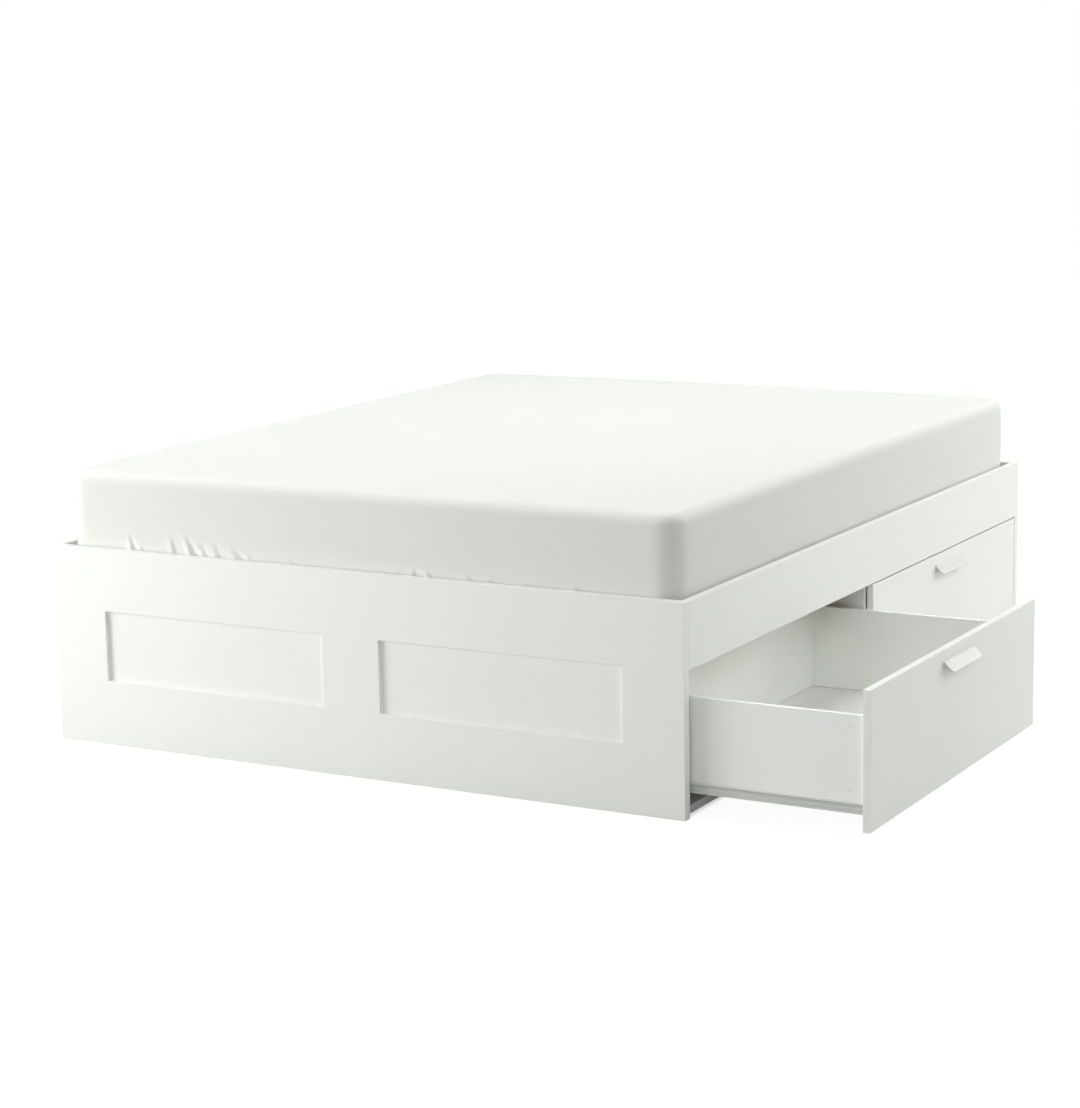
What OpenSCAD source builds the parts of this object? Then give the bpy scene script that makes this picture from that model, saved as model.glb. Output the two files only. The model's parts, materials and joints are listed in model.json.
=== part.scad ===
// Platform bed with four storage drawers on roller runners, a slatted base and a mattress.
// Origin: on the floor under the middle of the bed. +X is the right side, +Y the head end.

/* [Frame] */
// Width of the bed across its end panels
bed_w = 1660; // [1400:10:1900]
// Length of the bed over its end panels
bed_l = 2060; // [1900:10:2200]
// Height of the end panels, level with the tops of the side rails
frame_h = 470; // [450:5:540]
// Thickness of the end panels
end_t = 24; // [18:1:30]
// Thickness of the side rails
rail_t = 16; // [14:1:22]
// Height of the side rails
rail_h = 148; // [120:1:170]

/* [End panel recesses] */
// Depth of the two recesses in each end panel
recess_d = 9; // [4:1:12]
// Width of the raised strip between the two recesses
recess_mid_w = 150; // [80:5:260]
// Width of the raised strip outside each recess
recess_side_w = 147; // [80:1:200]
// Height of the raised strip below the recesses
recess_low_h = 154; // [80:1:180]
// Height of the raised strip above the recesses
recess_high_h = 148.5; // [80:0.5:180]

/* [Drawer fronts] */
// Thickness of the drawer fronts
front_t = 16; // [14:1:22]
// Gap round each drawer front
front_gap = 3.5; // [2:0.5:6]
// Height of the lower edges of the fronts above the floor
front_lift = 18; // [10:1:30]

/* [Drawer boxes] */
// Depth of a drawer box behind its front
box_l = 544; // [440:2:560]
// Height of the sides and back of a drawer
box_h = 207.5; // [160:0.5:220]
// Thickness of the sides and back of a drawer
box_t = 12; // [10:1:16]
// Height of the box's lower edges above the front's lower edge
box_lift = 36.5; // [30:0.5:45]
// Thickness of the drawer bottom
bottom_t = 3; // [2:0.5:5]
// Depth of the grooves that hold the drawer bottom
groove_d = 4; // [3:0.5:6]
// Height of the grooves above the lower edges of the sides
groove_lift = 4; // [3:0.5:8]
// Play of the drawer bottom in its grooves
groove_play = 0.2; // [0.1:0.1:0.4]
// How far a drawer runs out
travel = 406; // [250:1:420]
// How far the drawer at the foot end on the right stands open
foot_right_open = 406; // [0:1:406]

/* [Runners] */
// Gap between a drawer side and the panel beside it
runner_gap = 12.5; // [12:0.5:14]
// Sheet thickness of the runners
runner_t = 1.2; // [1:0.1:1.6]
// Radius of the rollers
roller_r = 9; // [8:0.5:10]
// Width of the rollers
roller_w = 6.8; // [6:0.1:7]
// Radius of the rivets that carry the rollers
rivet_r = 2.5; // [2:0.1:3]
// Running clearance of a roller on its rivet
rivet_play = 0.06; // [0.04:0.01:0.1]
// Height that a roller has to spare inside its channel
roller_play = 0.6; // [0.4:0.1:1]
// Clearance between the sliding and the fixed profile
slide_play = 0.8; // [0.6:0.1:1.2]
// Reach of the channel's flanges from the panel
flange_w = 9; // [8.6:0.1:9.4]
// Width of the foot of the sliding profile under the drawer side
foot_w = 10; // [8:0.5:12]

/* [Handles] */
// Length of a handle
handle_l = 180; // [120:5:240]
// Reach of the grip in front of the drawer front
handle_out = 24; // [18:0.5:34]
// Height from the top of a handle to the tip of its grip
handle_fall = 22; // [16:0.5:30]
// Wall thickness of a handle
handle_t = 3; // [2.4:0.1:4]
// Distance of a handle below the top edge of its front
handle_drop = 27; // [15:1:60]
// Radius of the two outer corners of the grip
handle_corner_r = 6; // [2:0.5:10]

/* [Carcase] */
// Thickness of the dividers between neighbouring drawers
divider_t = 16; // [14:1:22]
// Distance of a divider's front edge behind the drawer fronts
divider_set = 4; // [3:0.5:10]
// Width of the floor boards under the fronts
floor_board_w = 60; // [40:1:90]
// Thickness of the floor boards under the fronts
floor_board_t = 18; // [12:1:22]
// Distance of the floor boards behind the drawer fronts
floor_board_set = 2; // [1:0.5:6]
// Height of the inner boards behind the drawers
inner_board_h = 120; // [80:5:200]
// Thickness of the inner boards
inner_board_t = 16; // [12:1:22]
// Distance of the inner boards behind the closed drawers
inner_board_set = 18; // [12:1:40]

/* [Slatted base] */
// Depth of the top of the ledges below the tops of the rails
ledge_drop = 78; // [70:1:80]
// Width of the ledges
ledge_w = 30; // [24:1:40]
// Height of the ledges
ledge_h = 20; // [16:1:30]
// Number of slats in each half of the base
slat_count = 17; // [11:1:20]
// Width of a slat
slat_w = 65; // [40:1:70]
// Thickness of a slat
slat_t = 9; // [7:0.5:12]
// Rise of the middle of a slat above its ends
slat_crown = 12; // [6:0.5:18]
// Gap between the two halves of the base at the mid beam
slat_mid_gap = 16; // [10:1:20]
// Gap between the slats' outer ends and the side rails
slat_end_gap = 8; // [4:1:12]
// Gap between the end panels and the first and last slats
slat_margin = 20; // [10:1:40]
// Clearance of the slats on the ledges and the beam
slat_play = 0.2; // [0.1:0.1:0.3]
// Width of the tapes that hold the slats at their distances
tape_w = 25; // [15:1:40]
// Thickness of the tapes
tape_t = 1; // [0.6:0.1:1.5]
// Distance between the two tapes under each half of the base
tape_spacing = 540; // [300:10:600]

/* [Mid beam] */
// Width of the mid beam
beam_w = 42; // [38:1:50]
// Height of the mid beam
beam_h = 60; // [40:1:65]
// Sheet thickness of the mid beam
beam_t = 2; // [1.5:0.1:3]
// Width of the lips along the beam's open underside
beam_lip = 9; // [6:0.5:12]
// Clearance of the beam in its brackets
beam_play = 0.5; // [0.3:0.1:1]
// Sheet thickness of the beam brackets
bracket_t = 3; // [2:0.5:4]
// Reach of the beam brackets from the end panels
bracket_l = 45; // [30:1:70]
// Width of the fixing wings on each side of a beam bracket
bracket_wing = 20; // [14:1:30]
// Outer radius of the leg under the mid beam
leg_r = 16; // [12:0.5:20]
// Wall thickness of the leg
leg_t = 1.5; // [1:0.1:2.5]
// Length of the plate on top of the leg, along the beam
leg_plate_l = 70; // [50:1:100]
// Radius of the leg's plastic foot
foot_r = 22; // [20:0.5:30]
// Height of the leg's plastic foot
foot_h = 8; // [5:0.5:15]

/* [Mattress] */
// Gap between the mattress and each side rail
mattress_side_gap = 12; // [4:1:30]
// Gap between the mattress and each end panel
mattress_end_gap = 4; // [2:1:20]
// Thickness of the mattress
mattress_h = 236; // [140:2:260]
// Radius of the mattress's upright corners
mattress_corner_r = 60; // [40:2:100]
// Radius of the mattress's upper and lower edges
mattress_edge_r = 30; // [16:1:40]
// Clearance between the mattress and the tops of the slats
mattress_play = 0.3; // [0.2:0.1:0.5]

/* [Hidden] */
RIGHT = 1;
LEFT = -1;
FOOT = -1;
HEAD = 1;

// One bay per drawer: its name, the side it opens to, its end of the bed and how far it stands open.
BAYS = [
    ["foot_right", RIGHT, FOOT, foot_right_open],
    ["head_right", RIGHT, HEAD, 0],
    ["foot_left", LEFT, FOOT, 0],
    ["head_left", LEFT, HEAD, 0],
];

// Nodes that every bay has.
BAY_NODES = [
    "drawer_front", "drawer_left_side", "drawer_right_side", "drawer_back", "drawer_bottom",
    "drawer_handle", "drawer_runners", "drawer_rollers", "channel_runners", "channel_rollers",
];

// Nodes that belong to the whole bed.
FRAME_NODES = [
    "foot_end_panel", "head_end_panel", "side_rail_right", "side_rail_left",
    "ledge_right", "ledge_left", "divider_right", "divider_left",
    "floor_board_right", "floor_board_left", "inner_board_right", "inner_board_left",
    "mid_beam", "beam_brackets", "beam_leg", "leg_foot",
    "slats_right", "slats_left", "slat_tapes", "mattress",
];

// Seat clearance that keeps two separate bodies just apart.
seat = 0.3;
// Facets on rollers, rivets, tubes and rounded corners.
round_fn = 48;
// Facets on the large circles that the slats are cut from.
slat_fn = 1440;
// Facets on the rounded mattress.
soft_fn = 32;
// A cutter reaches this far past the face that it opens.
over = 1;

inner_l = bed_l - 2 * end_t;
rail_z = frame_h - rail_h;
rail_in_x = bed_w / 2 - rail_t;

bay_l = (inner_l - divider_t) / 2;
bay_y = (bay_l + divider_t) / 2;
front_in_x = bed_w / 2 - front_t;
front_l = (inner_l - 3 * front_gap) / 2;
front_y = (front_l + front_gap) / 2;
front_h = rail_z - front_gap - front_lift;
front_top = front_lift + front_h;

box_z = front_lift + box_lift;
box_w = bay_l - 2 * runner_gap;
box_back_x = front_in_x - box_l;
groove_z = box_z + groove_lift;
groove_h = bottom_t + 2 * groove_play;

channel_h = 2 * (runner_t + roller_r) + roller_play;
channel_z = box_z - runner_t;
leaf_h = channel_h + slide_play + runner_t;
lip_under_z = channel_z + leaf_h - runner_t;
rear_roller_x = box_back_x + roller_r + 3;
rear_roller_y = (runner_gap - roller_w) / 2;
rear_roller_z = channel_z + runner_t + roller_r + roller_play / 2;
channel_end_x = front_in_x - 6;
channel_start_x = box_back_x - roller_r;
support_roller_x = channel_end_x - roller_r - 2;
support_roller_z = lip_under_z - seat - roller_r;
roller_side_gap = 0.8;
rivet_head_t = 0.8;
rivet_head_r = rivet_r + 1.2;
stop_t = 2;
stop_h = 3;

divider_front_x = front_in_x - divider_set;
floor_board_x = front_in_x - floor_board_set - floor_board_w;
inner_board_x = box_back_x - inner_board_set - inner_board_t;
inner_face_x = inner_board_x + inner_board_t;

ledge_z = frame_h - ledge_drop;
slat_l = rail_in_x - slat_end_gap - slat_mid_gap / 2;
slat_mid_x = slat_mid_gap / 2 + slat_l / 2;
slat_pitch = (inner_l - 2 * slat_margin - slat_w) / (slat_count - 1);
slat_r = (pow(slat_l / 2, 2) + pow(slat_crown, 2)) / (2 * slat_crown);
slat_axis_z = ledge_z + slat_play + slat_crown - slat_r;

bracket_in = bracket_t + beam_play;
beam_l = inner_l - 2 * bracket_in;
beam_z = ledge_z - beam_h;

mattress_w = 2 * (rail_in_x - mattress_side_gap);
mattress_l = inner_l - 2 * mattress_end_gap;
mattress_z = ledge_z + slat_play + slat_crown + slat_t + mattress_play;

handle_top = front_top - handle_drop;
grip_angle = atan2(handle_fall - handle_t, handle_out - handle_t);
grip_l = norm([handle_fall - handle_t, handle_out - handle_t]);

white = [0.95, 0.95, 0.93];
steel = [0.78, 0.79, 0.8];

// ---------------------------------------------------------------- helpers

// Puts what is drawn for the right side on the given side of the bed.
module on_side(side) {
    rotate([0, 0, side == RIGHT ? 0 : 180]) children();
}

// Puts what is drawn for a bay centred on y = 0, opening towards +X, into the given bay.
module in_bay(bay) {
    translate([0, bay[2] * bay_y, 0]) on_side(bay[1]) children();
}

// As in_bay, and moved out with the drawer.
module in_drawer(bay) {
    in_bay(bay) translate([bay[3], 0, 0]) children();
}

// Draws its children at both walls of a bay: they are drawn with y as the distance from the wall.
module at_both_walls() {
    for (flip = [0, 1])
        mirror([0, flip, 0]) translate([0, -bay_l / 2, 0]) children();
}

// A profile drawn in y and z, carried along +X from x0 to x1.
module along_x(x0, x1) {
    translate([x0, 0, 0]) rotate([90, 0, 90]) linear_extrude(x1 - x0) children();
}

// A profile drawn in x and z, carried along +Y from y0 to y1.
module along_y(y0, y1) {
    translate([0, y1, 0]) rotate([90, 0, 0]) linear_extrude(y1 - y0) children();
}

// A round bar along +Y from y0 to y1.
module bar_y(x, z, r, y0, y1) {
    translate([x, y0, z]) rotate([-90, 0, 0]) cylinder(r = r, h = y1 - y0, $fn = round_fn);
}

// ---------------------------------------------------------------- frame

// An end board with two shallow recesses in its outer face.
module end_panel(end) {
    recess_w = (bed_w - recess_mid_w) / 2 - recess_side_w;
    recess_h = frame_h - recess_low_h - recess_high_h;
    color(white) rotate([0, 0, end == FOOT ? 0 : 180]) difference() {
        translate([-bed_w / 2, -bed_l / 2, 0]) cube([bed_w, end_t, frame_h]);
        for (flip = [0, 1]) mirror([flip, 0, 0])
            translate([recess_mid_w / 2, -bed_l / 2 - over, recess_low_h])
                cube([recess_w, recess_d + over, recess_h]);
    }
}

module side_rail(side) {
    color(white) on_side(side) translate([rail_in_x, -inner_l / 2, rail_z])
        cube([rail_t, inner_l, rail_h]);
}

// The strip inside a rail that the slats lie on.
module ledge(side) {
    color("burlywood") on_side(side) translate([rail_in_x - ledge_w, -inner_l / 2, ledge_z - ledge_h])
        cube([ledge_w, inner_l, ledge_h]);
}

// The upright board between two drawers, notched over the floor board.
module divider(side) {
    color(white) on_side(side) difference() {
        translate([inner_face_x, -divider_t / 2, 0])
            cube([divider_front_x - inner_face_x, divider_t, ledge_z - ledge_h]);
        translate([floor_board_x, -divider_t / 2 - over, -over])
            cube([floor_board_w + divider_set + over, divider_t + 2 * over, floor_board_t + over]);
    }
}

module floor_board(side) {
    color(white) on_side(side) translate([floor_board_x, -inner_l / 2, 0])
        cube([floor_board_w, inner_l, floor_board_t]);
}

module inner_board(side) {
    color(white) on_side(side) translate([inner_board_x, -inner_l / 2, 0])
        cube([inner_board_t, inner_l, inner_board_h]);
}

// ---------------------------------------------------------------- mid beam

// A folded channel, open underneath, with a lip along each lower edge.
module mid_beam() {
    half = beam_w / 2;
    color(steel) translate([0, 0, beam_z]) along_y(-beam_l / 2, beam_l / 2) polygon([
        [-half, 0], [-half, beam_h], [half, beam_h], [half, 0],
        [half - beam_lip, 0], [half - beam_lip, beam_t], [half - beam_t, beam_t],
        [half - beam_t, beam_h - beam_t], [beam_t - half, beam_h - beam_t],
        [beam_t - half, beam_t], [beam_lip - half, beam_t], [beam_lip - half, 0],
    ]);
}

// A cradle on each end panel: a back plate with two wings, two cheeks and a shelf.
module beam_brackets() {
    cheek = beam_w / 2 + beam_play;
    wing = cheek + bracket_t + bracket_wing;
    color(steel) for (end = [0, 180]) rotate([0, 0, end]) translate([0, 0, beam_z]) {
        along_y(-inner_l / 2, -inner_l / 2 + bracket_t)
            translate([-wing, -bracket_t]) square([2 * wing, beam_h]);
        along_y(-inner_l / 2 + bracket_t, -inner_l / 2 + bracket_l) polygon([
            [-cheek - bracket_t, -bracket_t], [cheek + bracket_t, -bracket_t],
            [cheek + bracket_t, beam_h / 2], [cheek, beam_h / 2], [cheek, 0],
            [-cheek, 0], [-cheek, beam_h / 2], [-cheek - bracket_t, beam_h / 2],
        ]);
    }
}

// A steel tube with a plate on top that the beam's lips rest on.
module beam_leg() {
    plate_z = beam_z - bracket_t;
    color(steel) {
        translate([-beam_w / 2, -leg_plate_l / 2, plate_z]) cube([beam_w, leg_plate_l, bracket_t]);
        translate([0, 0, foot_h]) difference() {
            cylinder(r = leg_r, h = plate_z - foot_h, $fn = round_fn);
            translate([0, 0, -over])
                cylinder(r = leg_r - leg_t, h = plate_z - foot_h + over, $fn = round_fn);
        }
    }
}

// The leg's foot: a disc with a plug that sits inside the tube.
module leg_foot() {
    plug_r = leg_r - leg_t - seat;
    chamfer = 1.5;
    color("gray") rotate_extrude($fn = round_fn) polygon([
        [0, 0], [foot_r - chamfer, 0], [foot_r, chamfer], [foot_r, foot_h - chamfer],
        [foot_r - chamfer, foot_h], [plug_r, foot_h], [plug_r, foot_h + leg_r],
        [plug_r - chamfer, foot_h + leg_r + chamfer], [0, foot_h + leg_r + chamfer],
    ]);
}

// ---------------------------------------------------------------- slatted base

// One bent slat over x from -slat_l / 2 to slat_l / 2, cut from a ring of large radius.
module slat() {
    intersection() {
        rotate([-90, 0, 0]) difference() {
            cylinder(r = slat_r + slat_t, h = slat_w, $fn = slat_fn);
            translate([0, 0, -over]) cylinder(r = slat_r, h = slat_w + 2 * over, $fn = slat_fn);
        }
        translate([-slat_l / 2, -over, slat_r - slat_crown - slat_t])
            cube([slat_l, slat_w + 2 * over, slat_crown + 3 * slat_t]);
    }
}

module slats(side) {
    color("burlywood") on_side(side) translate([slat_mid_x, 0, slat_axis_z])
        for (i = [0 : slat_count - 1])
            translate([0, -inner_l / 2 + slat_margin + i * slat_pitch, 0]) slat();
}

// Two tapes under each half of the base, tangent to the bent slats.
module slat_tapes() {
    tape_l = inner_l - 2 * slat_margin;
    lean = asin(tape_spacing / 2 / slat_r);
    color("silver") for (side = [RIGHT, LEFT]) on_side(side)
        translate([slat_mid_x, 0, slat_axis_z])
            for (tilt = [-lean, lean]) rotate([0, tilt, 0])
                translate([-tape_w / 2, -tape_l / 2, slat_r - slat_play - tape_t])
                    cube([tape_w, tape_l, tape_t]);
}

// A foam block with rounded upright corners and rounded edges.
module mattress() {
    ring_r = mattress_corner_r - mattress_edge_r;
    color("white") hull()
        for (x = [-1, 1], y = [-1, 1], z = [mattress_edge_r, mattress_h - mattress_edge_r])
            translate([
                x * (mattress_w / 2 - mattress_corner_r),
                y * (mattress_l / 2 - mattress_corner_r),
                mattress_z + z,
            ])
                rotate_extrude($fn = soft_fn) intersection() {
                    translate([ring_r, 0]) circle(r = mattress_edge_r, $fn = soft_fn);
                    translate([0, -mattress_edge_r]) square([mattress_corner_r, 2 * mattress_edge_r]);
                }
}

// ---------------------------------------------------------------- drawers

module drawer_front(bay) {
    shift_y = bay[1] * bay[2] * (front_y - bay_y);
    color(white) in_drawer(bay) difference() {
        translate([front_in_x, shift_y - front_l / 2, front_lift]) cube([front_t, front_l, front_h]);
        bottom_groove();
    }
}

// The room that the drawer bottom takes in the boards round it.
module bottom_groove() {
    translate([box_back_x - over, -box_w / 2 + box_t - groove_d, groove_z])
        cube([box_l + groove_d + over, box_w - 2 * (box_t - groove_d), groove_h]);
}

// A side board with a groove for the bottom: hand is -1 for the left one, as seen by whoever pulls it.
module drawer_side(bay, hand) {
    color(white) in_drawer(bay) difference() {
        translate([box_back_x, hand < 0 ? -box_w / 2 : box_w / 2 - box_t, box_z])
            cube([box_l, box_t, box_h]);
        bottom_groove();
    }
}

// The back stands on the drawer bottom.
module drawer_back(bay) {
    color(white) in_drawer(bay)
        translate([box_back_x, -box_w / 2 + box_t, groove_z + groove_h])
            cube([box_t, box_w - 2 * box_t, box_h - groove_lift - groove_h]);
}

module drawer_bottom(bay) {
    color(white) in_drawer(bay)
        translate([box_back_x, box_t - box_w / 2 - groove_d + groove_play, groove_z + groove_play])
            cube([
                box_l + groove_d - groove_play,
                box_w - 2 * (box_t - groove_d + groove_play),
                bottom_t,
            ]);
}

// An inverted V: a leaf flat on the front and a sloping grip with rounded outer corners.
module drawer_handle(bay) {
    shift_y = bay[1] * bay[2] * (front_y - bay_y);
    leaf = handle_fall - handle_t;
    color(white) in_drawer(bay)
        translate([bed_w / 2, shift_y - handle_l / 2, handle_top]) {
            translate([0, 0, -leaf]) cube([handle_t, handle_l, leaf - handle_t / 2]);
            bar_y(handle_t / 2, -handle_t / 2, handle_t / 2, 0, handle_l);
            translate([handle_t / 2, 0, -handle_t / 2]) rotate([0, grip_angle, 0])
                translate([0, 0, -handle_t / 2]) grip();
        }
}

// The flat grip, from its bend at x = 0 to its free edge.
module grip() {
    r = handle_corner_r;
    tip = grip_l + handle_t / 2;
    linear_extrude(handle_t) {
        square([tip - r, handle_l]);
        translate([0, r]) square([tip, handle_l - 2 * r]);
        for (y = [r, handle_l - r]) translate([tip - r, y]) circle(r = r, $fn = round_fn);
    }
}

// ---------------------------------------------------------------- runners

// A roller with its axis along +Y, centred on x and z, from y to y + roller_w.
module roller(x, y, z) {
    chamfer = 0.6;
    bore_r = rivet_r + rivet_play;
    translate([x, y, z]) rotate([-90, 0, 0]) rotate_extrude($fn = round_fn) polygon([
        [bore_r, 0], [roller_r - chamfer, 0], [roller_r, chamfer],
        [roller_r, roller_w - chamfer], [roller_r - chamfer, roller_w], [bore_r, roller_w],
    ]);
}

// The two channels of a bay, fixed to its walls, each with a rivet for its roller and an end stop.
module channel_runners(bay) {
    rivet_end = runner_t + roller_side_gap + roller_w + roller_side_gap / 2;
    top = channel_h - runner_t;
    flange_end_x = support_roller_x - roller_r - 2;
    stop_x = rear_roller_x + travel + roller_r + seat;
    color(steel) in_bay(bay) at_both_walls() {
        translate([0, 0, channel_z]) {
            along_x(channel_start_x, flange_end_x) polygon([
                [0, 0], [flange_w, 0], [flange_w, runner_t], [runner_t, runner_t],
                [runner_t, top], [flange_w, top], [flange_w, channel_h], [0, channel_h],
            ]);
            along_x(flange_end_x, channel_end_x) polygon([
                [0, 0], [flange_w, 0], [flange_w, runner_t], [runner_t, runner_t],
                [runner_t, channel_h], [0, channel_h],
            ]);
            translate([stop_x, 0, top - stop_h]) cube([stop_t, flange_w, stop_h + runner_t]);
        }
        bar_y(support_roller_x, support_roller_z, rivet_r, 0, rivet_end);
        bar_y(support_roller_x, support_roller_z, rivet_head_r, runner_t, runner_t + roller_side_gap / 2);
        bar_y(support_roller_x, support_roller_z, rivet_head_r, rivet_end, rivet_end + rivet_head_t);
    }
}

// The rollers at the front of the channels, which carry the sliding profiles.
module channel_rollers(bay) {
    color("ivory") in_bay(bay) at_both_walls()
        roller(support_roller_x, runner_t + roller_side_gap * 0.75, support_roller_z);
}

// The two profiles under the drawer sides, each with a rivet for its roller.
module drawer_runners(bay) {
    web = runner_gap - runner_t;
    lip_y = 3;
    rivet_start = rear_roller_y - roller_side_gap / 4;
    boss_y = rear_roller_y + roller_w + roller_side_gap / 4;
    color(steel) in_drawer(bay) at_both_walls() {
        translate([0, 0, channel_z]) along_x(box_back_x, front_in_x) polygon([
            [web, 0], [runner_gap + foot_w, 0], [runner_gap + foot_w, runner_t],
            [runner_gap, runner_t], [runner_gap, leaf_h], [lip_y, leaf_h],
            [lip_y, leaf_h - runner_t], [web, leaf_h - runner_t],
        ]);
        bar_y(rear_roller_x, rear_roller_z, rivet_r, rivet_start - rivet_head_t, web);
        bar_y(rear_roller_x, rear_roller_z, rivet_head_r, rivet_start - rivet_head_t, rivet_start);
        bar_y(rear_roller_x, rear_roller_z, rivet_head_r, boss_y, web);
    }
}

// The rollers at the back of the sliding profiles, which run inside the channels.
module drawer_rollers(bay) {
    color("ivory") in_drawer(bay) at_both_walls()
        roller(rear_roller_x, rear_roller_y, rear_roller_z);
}

// ---------------------------------------------------------------- the bed

end_panel(FOOT);  // foot_end_panel
end_panel(HEAD);  // head_end_panel
side_rail(RIGHT);  // side_rail_right
side_rail(LEFT);  // side_rail_left
ledge(RIGHT);  // ledge_right
ledge(LEFT);  // ledge_left
divider(RIGHT);  // divider_right
divider(LEFT);  // divider_left
floor_board(RIGHT);  // floor_board_right
floor_board(LEFT);  // floor_board_left
inner_board(RIGHT);  // inner_board_right
inner_board(LEFT);  // inner_board_left
mid_beam();
beam_brackets();
beam_leg();
leg_foot();
slats(RIGHT);  // slats_right
slats(LEFT);  // slats_left
slat_tapes();
mattress();

for (bay = BAYS) {
    drawer_front(bay);
    drawer_side(bay, -1);
    drawer_side(bay, 1);
    drawer_back(bay);
    drawer_bottom(bay);
    drawer_handle(bay);
    drawer_runners(bay);
    drawer_rollers(bay);
    channel_runners(bay);
    channel_rollers(bay);
}
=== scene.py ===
"""Platform bed with four storage drawers: its looks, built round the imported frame.

Everything is in metres in the frame's own axes: the origin on the floor under the middle
of the bed, +X its right side, +Y its head end.
"""

import json
from math import radians

import bmesh
import bpy
import numpy as np
from mathutils import Matrix, Vector


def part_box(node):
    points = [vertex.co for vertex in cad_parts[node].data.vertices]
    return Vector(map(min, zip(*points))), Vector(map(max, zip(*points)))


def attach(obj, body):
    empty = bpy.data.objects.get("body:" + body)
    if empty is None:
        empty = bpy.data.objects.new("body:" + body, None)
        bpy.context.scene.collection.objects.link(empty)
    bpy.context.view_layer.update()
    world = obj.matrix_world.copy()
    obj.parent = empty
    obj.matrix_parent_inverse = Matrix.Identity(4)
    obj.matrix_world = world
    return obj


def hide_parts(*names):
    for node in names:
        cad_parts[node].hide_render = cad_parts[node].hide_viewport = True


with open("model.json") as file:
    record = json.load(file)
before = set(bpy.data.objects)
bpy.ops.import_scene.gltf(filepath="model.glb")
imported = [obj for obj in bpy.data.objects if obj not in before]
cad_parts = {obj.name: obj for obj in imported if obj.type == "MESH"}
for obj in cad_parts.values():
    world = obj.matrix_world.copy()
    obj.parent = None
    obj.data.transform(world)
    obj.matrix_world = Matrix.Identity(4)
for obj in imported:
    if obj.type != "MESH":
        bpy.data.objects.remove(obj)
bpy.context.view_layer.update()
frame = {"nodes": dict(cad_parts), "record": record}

NODES = frame["nodes"]
RECORD = frame["record"]
SLOT_OF = {part["node"]: part["material_slot"] for part in RECORD["subparts"]}
BODY_OF = {node: body for body, nodes in RECORD["behaviour"]["bodies"].items() for node in nodes}
# A bay's name, the side that its drawer opens to and its end of the bed.
BAYS = (("foot_right", 1, -1), ("head_right", 1, 1), ("foot_left", -1, -1), ("head_left", -1, 1))
TURN = 2 * np.pi
MM = 0.001
RUNNER_T = 1.2 * MM
# Underside of the lip along the top of the sliding profiles.
LIP_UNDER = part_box("drawer_runners_head_right")[1][2] - RUNNER_T
# Upper face of the drawer bottoms.
BOTTOM_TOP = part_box("drawer_bottom_head_right")[1][2]

# ---------------------------------------------------------------- camera, lamps, surroundings

CAMERA_PLACE = Vector((3.3103, -6.0534, 1.6387))
CAMERA_HEADING = 0.5114
CAMERA_DIP = 0.1871
CAMERA_ROLL = -0.0189
CAMERA_LENS = 89.5

# Name, place, point aimed at, width, height and watts.
LAMPS = (
    ("lamp_above", (0.0, 0.3, 5.2), (0.0, 0.0, 0.0), 4.0, 4.0, 190.0),
    ("lamp_left_front", (-3.4, -4.6, 1.5), (-0.3, -1.0, 0.3), 2.4, 2.4, 78.0),
    ("lamp_left_tall", (-3.6, -2.6, 1.3), (-0.2, -1.0, 0.6), 1.5, 2.6, 93.0),
    ("lamp_right_low", (3.6, 2.6, 1.0), (0.8, 0.2, 0.3), 1.8, 1.8, 39.0),
    ("lamp_right_steep", (3.4, 2.6, 3.6), (0.8, -0.4, 0.2), 2.0, 2.0, 16.0),
    ("lamp_right_head", (3.2, 4.8, 2.2), (0.8, 0.6, 0.3), 2.0, 2.0, 48.0),
    ("lamp_front", (3.0, -7.5, 3.0), (0.3, -0.8, 0.3), 2.5, 2.5, 98.0),
)
# A broad far light: the way to it, its width as an angle and its strength.
FAR_LIGHT = ((0.743, -0.02, 0.669), 40.0, 0.74)
FLOOR_HALF = 40.0
# The floor's colour for the light that it throws back, and for whoever looks at it.
FLOOR_LIT = (0.5, 0.5, 0.5, 1)
FLOOR_SEEN = (0.12, 0.12, 0.12, 1)
# The floor's glow rises from its near strength to 1 between two distances from the middle.
GLOW_NEAR = 0.95
GLOW_RISE = (1.6, 5.0)
# The share of the bed's outline from which the glow starts; inside it the glow is off, a painted
# shade under the bed.
GLOW_EDGE = 0.95


def place_camera():
    """Turns the camera by its heading, then its dip, then its roll about the line of sight."""
    heading, dip, roll = CAMERA_HEADING, CAMERA_DIP, CAMERA_ROLL
    ahead = Vector((-np.sin(heading) * np.cos(dip), np.cos(heading) * np.cos(dip), -np.sin(dip)))
    level = Vector((np.cos(heading), np.sin(heading), 0))
    right = level * np.cos(roll) + level.cross(ahead) * np.sin(roll)
    upward = right.cross(ahead)
    lens = bpy.data.cameras.new("camera")
    lens.lens = CAMERA_LENS
    lens.sensor_width = 36
    lens.clip_end = 200
    camera = bpy.data.objects.new("camera", lens)
    stance = Matrix((right, upward, -ahead)).transposed().to_4x4()
    camera.matrix_world = Matrix.Translation(CAMERA_PLACE) @ stance
    bpy.context.scene.collection.objects.link(camera)
    bpy.context.scene.camera = camera


def hang_lamp(data, turn, place=(0, 0, 0)):
    """Puts a lamp at its place, turned."""
    lamp = bpy.data.objects.new(data.name, data)
    lamp.location = place
    lamp.rotation_euler = turn.to_euler()
    bpy.context.scene.collection.objects.link(lamp)


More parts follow.
